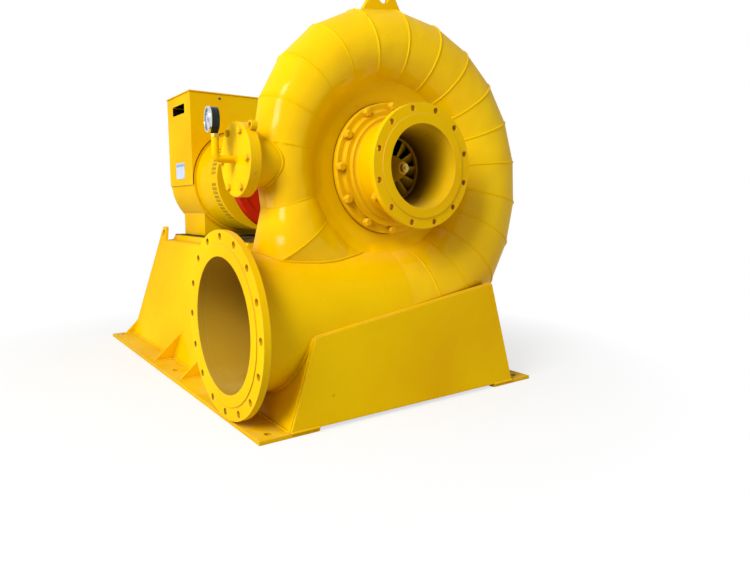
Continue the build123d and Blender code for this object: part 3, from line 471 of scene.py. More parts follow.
def joined(meshes):
    """Several meshes as one."""
    build = bmesh.new()
    for mesh in meshes:
        build.from_mesh(mesh)
        bpy.data.meshes.remove(mesh)
    result = bpy.data.meshes.new("joined")
    build.to_mesh(result)
    build.free()
    return result


def block(corner, opposite):
    """Box between two opposite corners."""
    build = bmesh.new()
    bmesh.ops.create_cube(build, size=1.0)
    size = [abs(b - a) for a, b in zip(corner, opposite)]
    middle = [(a + b) / 2 for a, b in zip(corner, opposite)]
    build.transform(Matrix.Translation(middle) @ Matrix.Diagonal((*size, 1.0)))
    mesh = bpy.data.meshes.new("block")
    build.to_mesh(mesh)
    build.free()
    return mesh


def standing(place, axis):
    """Matrix that stands +Z along an axis at a place."""
    turn = UPWARD.rotation_difference(Vector(axis)).to_matrix().to_4x4()
    return Matrix.Translation(Vector(place)) @ turn


def round_shaft(radius, angle, forward):
    """Point round the shaft: angle in degrees from the top towards +X, forward of the casing's middle."""
    a = math.radians(angle)
    return Vector((radius * math.sin(a), CASING_Y - forward, AXIS_Z + radius * math.cos(a)))


def round_branch(radius, angle, x):
    """Point round the branch: angle in degrees from the top towards -Y."""
    a = math.radians(angle)
    return Vector((x, CASING_Y - radius * math.sin(a), BRANCH_Z + radius * math.cos(a)))


def ring_points(radius, centre, axis, steps=96):
    """Closed ring of points."""
    stand = standing(centre, axis)
    angles = [2 * math.pi * k / steps for k in range(steps)]
    return [stand @ Vector((radius * math.cos(a), radius * math.sin(a), 0)) for a in angles]


def hollow_fillet(root_r, root_h, radius, steps=6):
    """Closed profile of a concave fillet between a cylinder of root_r and a face at root_h."""
    low_r, low_h = root_r - SUNK, root_h - SUNK
    line = [(low_r, root_h + radius), (low_r, low_h), (root_r + radius, low_h)]
    for k in range(steps + 1):
        a = math.pi / 2 * k / steps
        line.append((root_r + radius * (1 - math.sin(a)), root_h + radius * (1 - math.cos(a))))
    return line + line[:1]


def line_object(lines, cyclic):
    """Poly curve through lists of points."""
    data = bpy.data.curves.new("lines", "CURVE")
    data.dimensions = "3D"
    for line in lines:
        spline = data.splines.new("POLY")
        spline.points.add(len(line) - 1)
        for point, where in zip(spline.points, line):
            point.co = (*where, 1.0)
        spline.use_cyclic_u = cyclic
    made = bpy.data.objects.new("lines", data)
    bpy.context.scene.collection.objects.link(made)
    return made


def start_group(name, inputs):
    """Geometry node group with named inputs and one geometry output."""
    group = bpy.data.node_groups.new(name, "GeometryNodeTree")
    group.interface.new_socket("Geometry", in_out="INPUT", socket_type="NodeSocketGeometry")
    for label, kind in inputs:
        group.interface.new_socket(label, in_out="INPUT", socket_type=kind)
    group.interface.new_socket("Geometry", in_out="OUTPUT", socket_type="NodeSocketGeometry")
    start = add_node(group, "NodeGroupInput").outputs
    end = add_node(group, "NodeGroupOutput")
    return group, start, end


def make_bead_group():
    """Weld bead: a rippled tube along every line."""
    inputs = [
        ("Bead radius", "NodeSocketFloat"),
        ("Ripple height", "NodeSocketFloat"),
        ("Ripple length", "NodeSocketFloat"),
        ("Step", "NodeSocketFloat"),
        ("Finish", "NodeSocketMaterial"),
    ]
    group, start, end = start_group("Weld bead", inputs)
    sockets = {"Curve": start["Geometry"], "Length": start["Step"]}
    cut = add_node(group, "GeometryNodeResampleCurve", sockets, mode="LENGTH")
    sockets = {"Resolution": 8, "Radius": start["Bead radius"]}
    section = add_node(group, "GeometryNodeCurvePrimitiveCircle", sockets)
    sockets = {"Curve": cut.outputs[0], "Profile Curve": section.outputs[0], "Fill Caps": True}
    tube = add_node(group, "GeometryNodeCurveToMesh", sockets)
    where = add_node(group, "GeometryNodeInputPosition").outputs[0]
    sockets = {0: 1.0, 1: start["Ripple length"]}
    across = add_node(group, "ShaderNodeMath", sockets, operation="DIVIDE").outputs[0]
    sockets = {"Vector": where, "Scale": across, "Detail": 1.0}
    grain = add_node(group, "ShaderNodeTexNoise", sockets).outputs["Fac"]
    centred = add_node(group, "ShaderNodeMath", {0: grain, 1: 0.5}, operation="SUBTRACT").outputs[0]
    sockets = {0: centred, 1: start["Ripple height"]}
    height = add_node(group, "ShaderNodeMath", sockets, operation="MULTIPLY").outputs[0]
    outward = add_node(group, "GeometryNodeInputNormal").outputs[0]
    sockets = {0: outward, "Scale": height}
    offset = add_node(group, "ShaderNodeVectorMath", sockets, operation="SCALE").outputs[0]
    rippled = add_node(group, "GeometryNodeSetPosition", {"Geometry": tube.outputs[0], "Offset": offset})
    smooth = add_node(group, "GeometryNodeSetShadeSmooth", {0: rippled.outputs[0]})
    loose = add_node(group, "GeometryNodeRealizeInstances", {0: smooth.outputs[0]})
    sockets = {"Geometry": loose.outputs[0], "Material": start["Finish"]}
    dressed = add_node(group, "GeometryNodeSetMaterial", sockets)
    group.links.new(dressed.outputs[0], end.inputs[0])
    return group


def make_fastener_group():
    """Copies of one fastener on every point, standing along the point's axis, each turned a little."""
    inputs = [
        ("Fastener", "NodeSocketObject"),
        ("Seed", "NodeSocketInt"),
        ("Largest turn", "NodeSocketFloat"),
        ("Finish", "NodeSocketMaterial"),
    ]
    group, start, end = start_group("Fasteners on points", inputs)
    source = add_node(group, "GeometryNodeObjectInfo", {"Object": start["Fastener"]})
    axis = add_node(group, "GeometryNodeInputNamedAttribute", {"Name": "axis"}, data_type="FLOAT_VECTOR")
    stand = add_node(group, "FunctionNodeAlignRotationToVector", {"Vector": axis.outputs[0]}, axis="Z")
    sockets = {2: 0.0, 3: start["Largest turn"], "Seed": start["Seed"]}
    spin = add_node(group, "FunctionNodeRandomValue", sockets, data_type="FLOAT")
    sockets = {"Axis": (0.0, 0.0, 1.0), "Angle": spin.outputs[1]}
    turn = add_node(group, "FunctionNodeAxisAngleToRotation", sockets)
    sockets = {0: stand.outputs[0], 1: turn.outputs[0]}
    both = add_node(group, "FunctionNodeRotateRotation", sockets, rotation_space="LOCAL")
    sockets = {"Points": start["Geometry"], "Instance": source.outputs["Geometry"]}
    sockets["Rotation"] = both.outputs[0]
    copies = add_node(group, "GeometryNodeInstanceOnPoints", sockets)
    loose = add_node(group, "GeometryNodeRealizeInstances", {0: copies.outputs[0]})
    sockets = {"Geometry": loose.outputs[0], "Material": start["Finish"]}
    dressed = add_node(group, "GeometryNodeSetMaterial", sockets)
    group.links.new(dressed.outputs[0], end.inputs[0])
    return group


bead_group = make_bead_group()
fastener_group = make_fastener_group()


def run_group(source, group, values):
    """Mesh that a node group makes from an object. The object is used up."""
    modifier = source.modifiers.new("group", "NODES")
    modifier.node_group = group
    for item in group.interface.items_tree:
        if item.in_out == "INPUT" and item.name in values:
            modifier[item.identifier] = values[item.name]
    bpy.context.view_layer.update()
    seen = source.evaluated_get(bpy.context.evaluated_depsgraph_get())
    mesh = bpy.data.meshes.new_from_object(seen)
    data = source.data
    bpy.data.objects.remove(source)
    if isinstance(data, bpy.types.Curve):
        bpy.data.curves.remove(data)
    else:
        bpy.data.meshes.remove(data)
    return mesh


def weld(name, lines, radius, ripple, length=0.01, cyclic=False, finish=yellow_weld, step=0.006):
    """Beads along lines of points, with ripples of a height and a length."""
    values = {
        "Bead radius": radius,
        "Ripple height": ripple,
        "Ripple length": length,
        "Step": step,
        "Finish": finish,
    }
    piece(name, run_group(line_object(lines, cyclic), bead_group, values))


def fasten(name, fastener, places, finish, seed):
    """Copies of a fastener mesh at (point, axis) places."""
    source = bpy.data.objects.new("fastener", fastener)
    bpy.context.scene.collection.objects.link(source)
    points = bpy.data.meshes.new("points")
    points.from_pydata([tuple(point) for point, _ in places], [], [])
    axis = points.attributes.new("axis", "FLOAT_VECTOR", "POINT")
    for k, (_, along) in enumerate(places):
        axis.data[k].vector = along
    holder = bpy.data.objects.new("points", points)
    bpy.context.scene.collection.objects.link(holder)
    values = {"Fastener": source, "Seed": seed, "Largest turn": HEX_TURN, "Finish": finish}
    mesh = run_group(holder, fastener_group, values)
    bpy.data.objects.remove(source)
    bpy.data.meshes.remove(fastener)
    piece(name, mesh)


def hex_bolt(across, head, washer_r, washer, stud_r=0.0, stud=0.0):
    """Hexagon head with paint-filled corners on a washer at z = 0, with an optional stud end."""
    corner = across / math.sqrt(3)
    top = washer + head
    foot = [(0, -SUNK), (washer_r, -SUNK), (washer_r, washer * 0.6), (washer_r * 0.94, washer), (0, washer)]
    cap = [(corner, washer * 0.5), (corner, top - head * 0.35), (corner * 0.9, top - head * 0.1)]
    cap += [(corner * 0.7, top), (0, top)]
    parts = [lathe(foot, 24), lathe(cap, 6)]
    if stud:
        end = top + stud
        tip = [(stud_r, top - 0.001), (stud_r, end - stud * 0.4), (stud_r * 0.6, end), (0, end)]
        parts.append(lathe(tip, 16))
    return joined(parts)


def solid_tree(*names):
    """Ray-casting tree of several solids together."""
    build = bmesh.new()
    for name in names:
        build.from_mesh(nodes[name].data)
    tree = BVHTree.FromBMesh(build)
    build.free()
    return tree


# Casing: weld beads on the mitre seams, soft fillets round the stay ring

SEAM_STEPS = 120
casing = solid_tree(*casing_sections, "inlet_pipe")


def casing_spoke(angle):
    """Direction away from the shaft, angle in degrees from straight down towards +X."""
    a = math.radians(angle)
    return Vector((math.sin(a), 0, -math.cos(a)))


def casing_radius(angle):
    """Outer radius of the casing's tube at the angle of a spoke."""
    return TAIL_SEAMS.get(angle, INLET_R - CASING_TAPER * min(angle, TAIL_START))


def in_inlet_pipe(point):
    """Whether a point lies inside the straight inlet pipe."""
    return point.x < 0.0 and math.hypot(point.y - CASING_Y, point.z - INLET_Z) < INLET_R + SUNK


def seam_line(angle, ground):
    """Line of a seam round the casing's tube, ground below the plate."""
    radius = casing_radius(angle)
    out = casing_spoke(angle)
    middle = Vector((0, CASING_Y, AXIS_Z)) + out * (CASING_INNER + radius)
    limit = math.pi - math.asin(RING_HALF / radius)
    line = []
    for step in range(SEAM_STEPS + 1):
        across = -limit + 2 * limit * step / SEAM_STEPS
        spoke = out * math.cos(across) + BACKWARD * math.sin(across)
        hit = casing.ray_cast(middle + spoke * (radius + 0.05), -spoke, 0.1)
        if hit[0] and not in_inlet_pipe(hit[0]):
            line.append(hit[0] - spoke * ground)
    return line


# Seams as (angle, depth of the bead's middle). Beads on the right and on top stand proud, those on
# the left are ground nearly flush.
proud_seams = [(RISING_PLATE * k, 0.0026) for k in range(1, 8)]
proud_seams += [(CROWN_SEAM - RISING_PLATE * k, 0.0028) for k in range(3)]
proud_seams += [(CROWN_SEAM + FALLING_PLATE * k, 0.0028) for k in range(1, 3)]
proud_seams.append((CROWN_SEAM + FALLING_PLATE * 3, 0.0038))
proud_seams += [(angle, 0.0042) for angle in TAIL_SEAMS]
ground_seams = [(CROWN_SEAM + FALLING_PLATE * k, 0.0082) for k in range(4, 7)]
proud_lines = [seam_line(angle, ground) for angle, ground in proud_seams]
weld("casing_seam_welds", proud_lines, radius=0.0055, ripple=0.0014, length=0.012)
ground_lines = [seam_line(angle, ground) for angle, ground in ground_seams]
weld("casing_ground_welds", ground_lines, radius=0.0100, ripple=0.0014, length=0.018)

tail = solid_tree("spiral_section_5")


def tail_foot(x, from_front):
    """Point where the tail's plate stands on the inlet pipe at x, searched in half degrees, or None."""
    for step in range(10, 340):
        a = math.radians(step / 2 if from_front else 180 - step / 2)
        spoke = Vector((0, -math.cos(a), math.sin(a)))
        start = Vector((x, CASING_Y, INLET_Z)) + spoke * (INLET_R + 0.0008)
        if tail.ray_cast(start, spoke, 0.3)[0]:
            return start
    return None


tail_lines = []
for from_front in (True, False):
    feet = [tail_foot(-0.48 + 0.005 * step, from_front) for step in range(90)]
    tail_lines.append([foot for foot in feet if foot])
tail_loop = tail_lines[0][::-1] + tail_lines[1]
weld("tail_foot_weld", [tail_loop], radius=0.0045, ripple=0.0014, length=0.014)


def fillet_rise(angle):
    """Height of the fillet above the stay ring, lower where the casing is narrow."""
    for (start, width), (end, next_width) in zip(HALF_WIDTHS, HALF_WIDTHS[1:]):
        if angle <= end:
            share = (angle - start) / (end - start)
            half = width + share * (next_width - width)
            return min(FILLET_RISE, FILLET_SHARE * (half - RING_HALF))
    return FILLET_RISE


def over_ring(side, lift, out, reach):
    """Point above the stay ring's face on one side, reaching out from the shaft."""
    return Vector((0, CASING_Y + side * (RING_HALF + lift), AXIS_Z)) + out * reach


def wall_radii(side, lifts):
    """How far out from the shaft the casing's wall is at every degree, lifted above the stay ring's face."""
    search_from = 0.2
    found = []
    for angle, lift in enumerate(lifts):
        out = casing_spoke(angle + FILLET_START)
        hit = casing.ray_cast(over_ring(side, lift, out, search_from), out, 0.3)
        found.append(search_from + hit[3] if hit[0] else None)
    known = [k for k in range(360) if found[k] is not None]
    filled = []
    for k in range(360):
        if found[k] is None:
            near = min(known, key=lambda other: min(abs(other - k), 360 - abs(other - k)))
            filled.append(found[near])
        else:
            filled.append(found[k])
    # The middle one of five neighbours leaves out a stray hit
    return [sorted(filled[(k + d) % 360] for d in (-2, -1, 0, 1, 2))[2] for k in range(360)]


def ring_fillet(name, side):
    """Concave fillet of weld and filler between the stay ring's face and the casing, its edges sunk."""
    rises = [fillet_rise(angle) for angle in range(360)]
    foot = wall_radii(side, [FOOT_LIFT] * 360)
    high = wall_radii(side, rises)
    build = bmesh.new()
    rows = []
    for angle in range(360):
        out = casing_spoke(angle + FILLET_START)
        inner, bend, outer = foot[angle] - FILLET_REACH, foot[angle] + 0.001, high[angle] + 0.006
        row = []
        for k in range(FILLET_STEPS + 1):
            t = k / FILLET_STEPS
            first, second, third = (1 - t) ** 2, 2 * t * (1 - t), t * t
            reach = first * inner + second * bend + third * outer
            lift = third * rises[angle] + second * 0.0008 - first * EDGE_SUNK
            row.append(build.verts.new(over_ring(side, lift, out, reach)))
        row.append(build.verts.new(over_ring(side, -0.004, out, foot[angle] + 0.003)))
        rows.append(row)
    size = FILLET_STEPS + 2
    for low, top in zip(rows, rows[1:] + rows[:1]):
        for k in range(size):
            build.faces.new((low[k], low[(k + 1) % size], top[(k + 1) % size], top[k]))
    bmesh.ops.recalc_face_normals(build, faces=build.faces)
    for face in build.faces:
        face.smooth = True
    mesh = bpy.data.meshes.new(name)
    build.to_mesh(mesh)
    build.free()
    mesh.set_sharp_from_angle(angle=math.radians(60))
    piece(name, mesh, yellow)


ring_fillet("ring_fillet_front", -1)
ring_fillet("ring_fillet_back", 1)

# Welds and soft steps of the pipes and flanges
draft_weld_y = CASING_Y - DRAFT_PIPE_END + BEAD_LIFT
pipe_rings = [
    ring_points(INLET_R + BEAD_LIFT, (INLET_BACK_X + BEAD_LIFT, CASING_Y, INLET_Z), LEFTWARD, 140),
    ring_points(BRANCH_R + BEAD_LIFT, (BRANCH_BACK_X + BEAD_LIFT, CASING_Y, BRANCH_Z), LEFTWARD),
    ring_points(DRAFT_PIPE_R + BEAD_LIFT, (0, draft_weld_y, AXIS_Z), BACKWARD, 120),
]
weld("pipe_and_flange_welds", pipe_rings, radius=0.006, ripple=0.0018, cyclic=True)

to_front = standing((0, CASING_Y, AXIS_Z), FRONTWARD)
soft_steps = [
    lathe(hollow_fillet(COVER_HUB_R, COVER_FACE, 0.007), 120, to_front),
    lathe(hollow_fillet(COVER_NECK_R, COVER_HUB_END, 0.006), 120, to_front),
    lathe(hollow_fillet(DRAFT_PIPE_R, DRAFT_PIPE_START, 0.008), 120, to_front),
]
piece("draft_cover_soft_steps", joined(soft_steps), yellow)
joint = ring_points(COVER_R + 0.0006, (0, CASING_Y - RING_HALF - 0.0004, AXIS_Z), BACKWARD, 120)
weld("draft_cover_joint", [joint], radius=0.0013, ripple=0.0, cyclic=True, finish=joint_dirt)

saddle = []
for step in range(96):
    start = round_branch(BRANCH_R + 0.0005, 360.0 * step / 96, BRANCH_BACK_X)
    hit = casing.ray_cast(start, -LEFTWARD, 0.5)
    if hit[0]:
        saddle.append(hit[0])
weld("branch_saddle_weld", [saddle], radius=0.0045, ripple=0.0014, cyclic=True)

# The side plate holds the inlet pipe from below, over an arc of 232 degrees
cradle = []
for step in range(117):
    a = math.radians(186 + 232 * step / 116)
    z = INLET_Z + INLET_R * math.sin(a)
    cradle.append(Vector((-side_half(z) - BEAD_LIFT, CASING_Y + INLET_R * math.cos(a), z)))
weld("inlet_cradle_weld", [cradle], radius=0.006, ripple=0.002)

lug_line = []
for step in range(41):
    above = Vector((LUG_LEFT + LUG_LENGTH * step / 40, CASING_Y, 1.5))
    lug_line.append(casing.ray_cast(above, -UPWARD, 0.6)[0])
lug_lines = [[point + FRONTWARD * 0.0105 * side for point in lug_line] for side in (-1, 1)]
weld("lifting_lug_welds", lug_lines, radius=0.005, ripple=0.0018, length=0.009)

# Welds of the base
base_lines = []
for side in (-1, 1):
    front_top = FRONT_LEFT_TOP if side < 0 else FRONT_RIGHT_TOP
    foot_x, deck_x = side * (SIDE_FOOT + BEAD_LIFT), side * (SIDE_DECK - SIDE_PLATE_LEVEL)
    base_lines.append([(foot_x, BASE_FRONT + PLATE, FOOT_TOP), (foot_x, BASE_REAR, FOOT_TOP)])
    base_lines.append([(side * side_half(z), BASE_FRONT + PLATE, z) for z in (FOOT_TOP, front_top)])
    base_lines.append([(deck_x, BULKHEAD_Y, DECK_TOP), (deck_x, BASE_REAR, DECK_TOP)])
    base_lines.append([(side * FOOT_INNER, BASE_FRONT, FOOT_TOP), (side * SIDE_FOOT, BASE_FRONT, FOOT_TOP)])
    base_lines.append([(side * BED_HALF, BED_FRONT, DECK_TOP), (side * BED_HALF, BED_REAR, DECK_TOP)])
    for y, height, reach in GUSSETS:
        for face in (y, y - GUSSET_PLATE):
            foot = (side * SIDE_FOOT, face, FOOT_TOP)
            base_lines.append([foot, (side * (SIDE_FOOT + reach), face, FOOT_TOP)])
            base_lines.append([foot, (side * side_half(FOOT_TOP + height), face, FOOT_TOP + height)])
left, right = -side_half(FRONT_LEFT_TOP), side_half(FRONT_RIGHT_TOP)
base_lines.append([(left, BASE_FRONT + PLATE, FRONT_LEFT_TOP), (right, BASE_FRONT + PLATE, FRONT_RIGHT_TOP)])
for y in (BED_FRONT, BED_REAR):
    base_lines.append([(-BED_HALF, y, DECK_TOP), (BED_HALF, y, DECK_TOP)])
weld("base_welds", base_lines, radius=0.0045, ripple=0.002, length=0.009)

# Fasteners
places = [(round_shaft(COVER_BOLT_R, 30 * k, COVER_FACE), FRONTWARD) for k in range(12)]
bolt = hex_bolt(across=0.025, head=0.015, washer_r=0.0145, washer=0.003)
fasten("draft_cover_bolts", bolt, places, yellow_bolt, seed=3)
places = [(round_shaft(COVER_BOLT_R, 30 * k + 15, -COVER_FACE), BACKWARD) for k in range(12)]
bolt = hex_bolt(across=0.025, head=0.013, washer_r=0.0145, washer=0.003)
fasten("rear_cover_bolts", bolt, places, yellow_bolt, seed=5)
places = [(round_branch(BRANCH_BOLT_R, 60 * k + 30, BRANCH_FACE_X), LEFTWARD) for k in range(6)]
places += [(round_branch(BRANCH_BOLT_R, 60 * k + 30, BRANCH_BACK_X), -LEFTWARD) for k in range(6)]
bolt = hex_bolt(across=0.018, head=0.008, washer_r=0.0105, washer=0.002)
fasten("branch_cover_bolts", bolt, places, yellow_bolt, seed=7)
places = [(round_shaft(GLAND_STUD_R, 90 * k + 45, GLAND_BACK), BACKWARD) for k in range(4)]
bolt = hex_bolt(across=0.019, head=0.010, washer_r=0.0115, washer=0.002, stud_r=0.006, stud=0.014)
fasten("gland_studs", bolt, places, turned_steel, seed=9)
bolt_xs = (-BEARING_BOLT_X, BEARING_BOLT_X)
places = [(Vector((x, y, BEARING_LUG_TOP)), UPWARD) for x in bolt_xs for y in BEARING_BOLT_ROWS]
bolt = hex_bolt(across=0.024, head=0.014, washer_r=0.0145, washer=0.003, stud_r=0.008, stud=0.008)
fasten("bearing_bolts", bolt, places, yellow_bolt, seed=11)
places = []
for k in range(8):
    a = math.radians(45 * k + 22.5)
    x, z = END_BOLT_R * math.sin(a), AXIS_Z + END_BOLT_R * math.cos(a)
    places.append((Vector((x, REAR_END_Y, z)), BACKWARD))
bolt = hex_bolt(across=0.017, head=0.008, washer_r=0.010, washer=0.002)
fasten("generator_end_bolts", bolt, places, yellow_bolt, seed=13)
screw_xs = (-LID_SCREW_X, LID_SCREW_X)
places = [(Vector((x, BOX_FRONT, LID_SCREW_Z)), FRONTWARD) for x in screw_xs]
places += [(Vector((x, BOX_REAR, LID_SCREW_Z)), BACKWARD) for x in screw_xs]
screw = lathe([(0, -0.001), (0.006, -0.001), (0.006, 0.0015), (0.004, 0.003), (0, 0.0032)], 20)
fasten("box_screws", screw, places, oiled_iron, seed=17)

# Pressure gauge. Its scale runs from the lower left over the top, heights are from the case's front.
SCALE_START = 225
SCALE_SPAN = 270
TICKS = 25
TICK_R = 0.0280
turn = math.radians(GAUGE_TURN)
outward = Vector((-math.cos(turn), math.sin(turn), 0))
to_left = standing(Vector((GAUGE_X, CASING_Y, GAUGE_Z)) + outward * GAUGE_REACH, outward)
bezel = [(0.0362, -0.0065), (0.0366, -0.006), (0.0366, -0.001), (0.0352, 0.0008)]
bezel += [(0.0326, 0.0010), (0.0308, -0.0012), (0.0308, -0.003), (0.0362, -0.0065)]
piece("gauge_bezel", lathe(bezel, 64, to_left), chrome)
window = [(0, -0.0022), (0.0312, -0.0022), (0.0312, -0.0016), (0, -0.0012)]
piece("gauge_window", lathe(window, 48, to_left), gauge_glass)


def on_dial(radius, angle, height):
    """Point over the dial."""
    a = math.radians(angle)
    return to_left @ Vector((radius * math.cos(a), radius * math.sin(a), height))


tick_lines = []
for k in range(TICKS + 1):
    length = 0.0052 if k % 5 == 0 else 0.003
    angle = SCALE_START - SCALE_SPAN * k / TICKS
    tick_lines.append([on_dial(radius, angle, -0.0039) for radius in (TICK_R - length, TICK_R)])
weld("gauge_ticks", tick_lines, radius=0.0005, ripple=0.0, finish=dial_ink, step=0.001)
needle = [on_dial(radius, SCALE_START, -0.0030) for radius in (-0.007, 0.023)]
weld("gauge_needle", [needle], radius=0.0007, ripple=0.0, finish=needle_paint, step=0.003)
boss = [(0, -0.0034), (0.003, -0.0034), (0.003, -0.0024), (0.002, -0.0020), (0, -0.0020)]
piece("gauge_needle_boss", lathe(boss, 20, to_left), oiled_iron)
union = [(0, 0), (0.0125, 0), (0.0125, 0.010), (0.0105, 0.012), (0, 0.012)]
union_at = Matrix.Translation((GAUGE_X, CASING_Y, GAUGE_PIPE_TOP - SUNK))
piece("gauge_union_nut", lathe(union, 6, union_at), brass)
gauge_ring = ring_points(0.0105, (BRANCH_FACE_X - 0.0005, CASING_Y, BRANCH_Z), LEFTWARD, 24)
weld("gauge_pipe_weld", [gauge_ring], radius=0.003, ripple=0.0008, length=0.006, cyclic=True)

# Nameplate, box and generator trim
band = block((NAMEPLATE_X - 0.0004, 0.590, 0.838), (NAMEPLATE_X + 0.001, 0.700, 0.851))
piece("nameplate_band", band, plate_band)
rivet = lathe([(0, -0.0005), (0.0026, -0.0005), (0.0022, 0.0008), (0, 0.0014)], 16)
places = [(Vector((NAMEPLATE_X, y, z)), LEFTWARD) for y in (0.5895, 0.7005) for z in (0.784, 0.852)]
fasten("nameplate_rivets", rivet, places, chrome, seed=19)


def slot_shade(side):
    """Painted shade: black walls and floor that line a slot in the box."""
    mouth, floor_x = side * (BOX_HALF - 0.001), side * (BOX_HALF - SLOT_DEPTH)
    near, far = SLOT_Y - SLOT_HALF, SLOT_Y + SLOT_HALF
    low, high = SLOT_Z - SLOT_RISE, SLOT_Z + SLOT_RISE
    lining = 0.0008
    walls = [
        block((mouth, near, low), (floor_x, far, low + lining)),
        block((mouth, near, high - lining), (floor_x, far, high)),
        block((mouth, near, low + lining), (floor_x, near + lining, high - lining)),
        block((mouth, far - lining, low + lining), (floor_x, far, high - lining)),
        block((floor_x + side * lining, near + lining, low + lining), (floor_x, far - lining, high - lining)),
    ]
    return joined(walls)


piece("box_slot_linings", joined([slot_shade(-1), slot_shade(1)]), deep_shade)
# Painted shade: a black ring just under the drum's skin shows through the louvre slots
to_back = standing((0, DRIVE_END_Y, AXIS_Z), BACKWARD)
inner_r, outer_r = DRIVE_END_R - 0.006, DRIVE_END_R - 0.0006
shade = [(inner_r, LOUVRE_NEAR), (outer_r, LOUVRE_NEAR), (outer_r, LOUVRE_FAR), (inner_r, LOUVRE_FAR)]
piece("louvre_shade", lathe(shade + shade[:1], 180, to_back), deep_shade)
# Painted shade: a thin black bead along the gap between the box and the generator's frame
frame_gap_shade = []
for step in range(91):
    a = math.radians(-94 + 188 * step / 90)
    gap_r = FRAME_R + BEAD_LIFT
    frame_gap_shade.append(Vector((gap_r * math.sin(a), BOX_FRONT - 0.0003, AXIS_Z + gap_r * math.cos(a))))
weld("box_to_frame_gap", [frame_gap_shade], radius=0.0016, ripple=0.0, finish=deep_shade)

# Grease nipple and drain plug
nipple = [(0, -0.001), (0.008, -0.001), (0.008, 0.006), (0.0045, 0.008)]
nipple += [(0.004, 0.016), (0.0055, 0.018), (0.0035, 0.022), (0, 0.022)]
nipple_at = Matrix.Translation((0, BEARING_Y, BEARING_TOP))
piece("bearing_grease_nipple", lathe(nipple, 20, nipple_at), brass)
plug = [(0, -0.004), (0.016, -0.004), (0.016, 0.006), (0.010, 0.008), (0.010, 0.016), (0, 0.017)]
plug_at = round_shaft(DRAFT_PIPE_R, 232, 0.165)
plug_axis = plug_at - Vector((0, plug_at.y, AXIS_Z))
piece("draft_pipe_plug", lathe(plug, 24, standing(plug_at, plug_axis)), yellow_bolt)

# Floor, light and camera


def followed_rays(tree):
    """1 for rays that the eye follows: straight ones, mirrored ones and those through glass."""
    path = add_node(tree, "ShaderNodeLightPath").outputs
    sockets = {0: path["Is Camera Ray"], 1: path["Is Glossy Ray"]}
    seen = add_node(tree, "ShaderNodeMath", sockets, operation="MAXIMUM").outputs[0]
    sockets = {0: seen, 1: path["Is Transmission Ray"]}
    return add_node(tree, "ShaderNodeMath", sockets, operation="MAXIMUM").outputs[0]


# A pale floor that fades to white away from the set. To the eye it is white paper with a soft shadow.
FLOOR = 60
floor_mesh = bpy.data.meshes.new("floor")
floor_corners = [(-FLOOR, -FLOOR, 0), (FLOOR, -FLOOR, 0), (FLOOR, FLOOR, 0), (-FLOOR, FLOOR, 0)]
floor_mesh.from_pydata(floor_corners, [], [(0, 1, 2, 3)])
floor = bpy.data.objects.new("floor", floor_mesh)
bpy.context.scene.collection.objects.link(floor)
material, tree, place = start_material("pale_floor")
stain = add_node(tree, "ShaderNodeTexNoise", {"Vector": place, "Scale": 1 / 0.8, "Detail": 3.0})
sockets = {FACTOR: stain.outputs["Fac"], FIRST: linear("#F6F6F5"), SECOND: linear("#F1F1F0")}
tone = add_node(tree, "ShaderNodeMix", sockets, data_type="RGBA").outputs[MIXED]
pale = add_node(tree, "ShaderNodeBsdfDiffuse", {"Color": tone}).outputs[0]
dull = add_node(tree, "ShaderNodeBsdfDiffuse", {"Color": linear("#B4B3B0")}).outputs[0]
white = add_node(tree, "ShaderNodeEmission", {"Color": WHITE, "Strength": 1.0}).outputs[0]
away = add_node(tree, "ShaderNodeVectorMath", {0: place}, operation="LENGTH").outputs["Value"]
sockets = {"Value": away, "From Min": 0.6, "From Max": 1.6, "To Min": 0.55, "To Max": 1.0}
fade = add_node(tree, "ShaderNodeMapRange", sockets).outputs["Result"]
seen_floor = add_node(tree, "ShaderNodeMixShader", {0: fade, 1: pale, 2: white}).outputs[0]
blend = add_node(tree, "ShaderNodeMixShader", {0: followed_rays(tree), 1: dull, 2: seen_floor}).outputs[0]
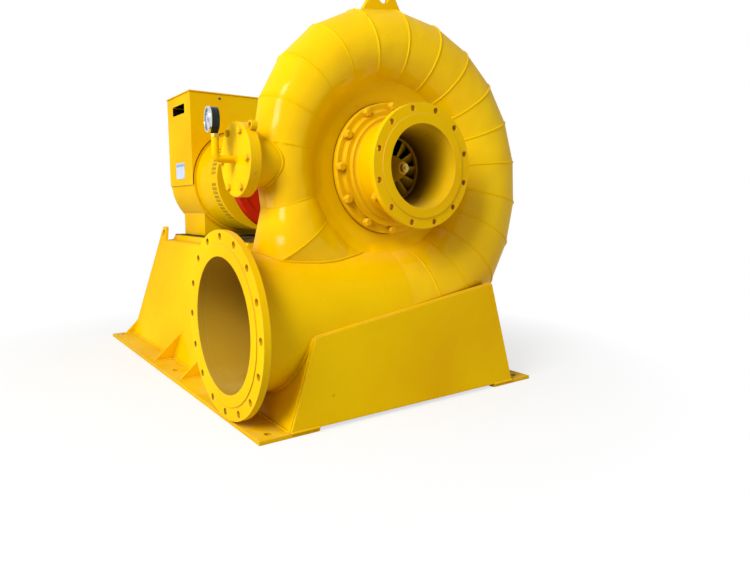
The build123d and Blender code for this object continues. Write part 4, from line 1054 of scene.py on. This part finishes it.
add_node(tree, "ShaderNodeOutputMaterial", {"Surface": blend})
floor_mesh.materials.append(material)

world = bpy.data.worlds.new("studio")
bpy.context.scene.world = world
world.use_nodes = True
tree = world.node_tree
tree.nodes.clear()
soft = add_node(tree, "ShaderNodeBackground", {"Color": WHITE, "Strength": 0.28}).outputs[0]
bright = add_node(tree, "ShaderNodeBackground", {"Color": WHITE, "Strength": 1.0}).outputs[0]
blend = add_node(tree, "ShaderNodeMixShader", {0: followed_rays(tree), 1: soft, 2: bright}).outputs[0]
add_node(tree, "ShaderNodeOutputWorld", {"Surface": blend})


def lamp(name, place, target, width, height, power):
    """Soft box aimed at a point."""
    data = bpy.data.lights.new(name, "AREA")
    data.shape = "RECTANGLE"
    data.size = width
    data.size_y = height
    data.energy = power
    made = bpy.data.objects.new(name, data)
    made.location = place
    aim = Vector(target) - Vector(place)
    made.rotation_euler = aim.to_track_quat("-Z", "Y").to_euler()
    bpy.context.scene.collection.objects.link(made)
    return made


lamp("key_upper_left", (-3.70, -2.05, 3.22), (-0.2, -0.5, 0.7), width=1.7, height=2.4, power=240)
lamp("broad_left", (-4.0, 0.6, 0.6), (0, 0.2, 0.7), width=2.4, height=1.1, power=48)
fill = lamp("weak_front", (1.7, -3.8, 0.6), (0, -0.3, 0.4), width=2.4, height=1.2, power=30)
fill.visible_glossy = False

# Camera fitted to the photo: focal length and width in pixels, pitch and heading in degrees
FOCAL_PIXELS = 596.9
PHOTO_WIDTH = 750
PITCH = -7.11
HEADING = -35.79
view = bpy.data.cameras.new("photo_view")
view.sensor_fit = "HORIZONTAL"
view.sensor_width = 36.0
view.lens = 36.0 * FOCAL_PIXELS / PHOTO_WIDTH
view.clip_start = 0.05
view.clip_end = 300
camera = bpy.data.objects.new("photo_view", view)
camera.location = (-1.2066, -2.3030, 0.6446)
camera.rotation_euler = (math.radians(90 + PITCH), 0, math.radians(HEADING))
bpy.context.scene.collection.objects.link(camera)
bpy.context.scene.camera = camera
bpy.context.scene.view_settings.view_transform = "Standard"
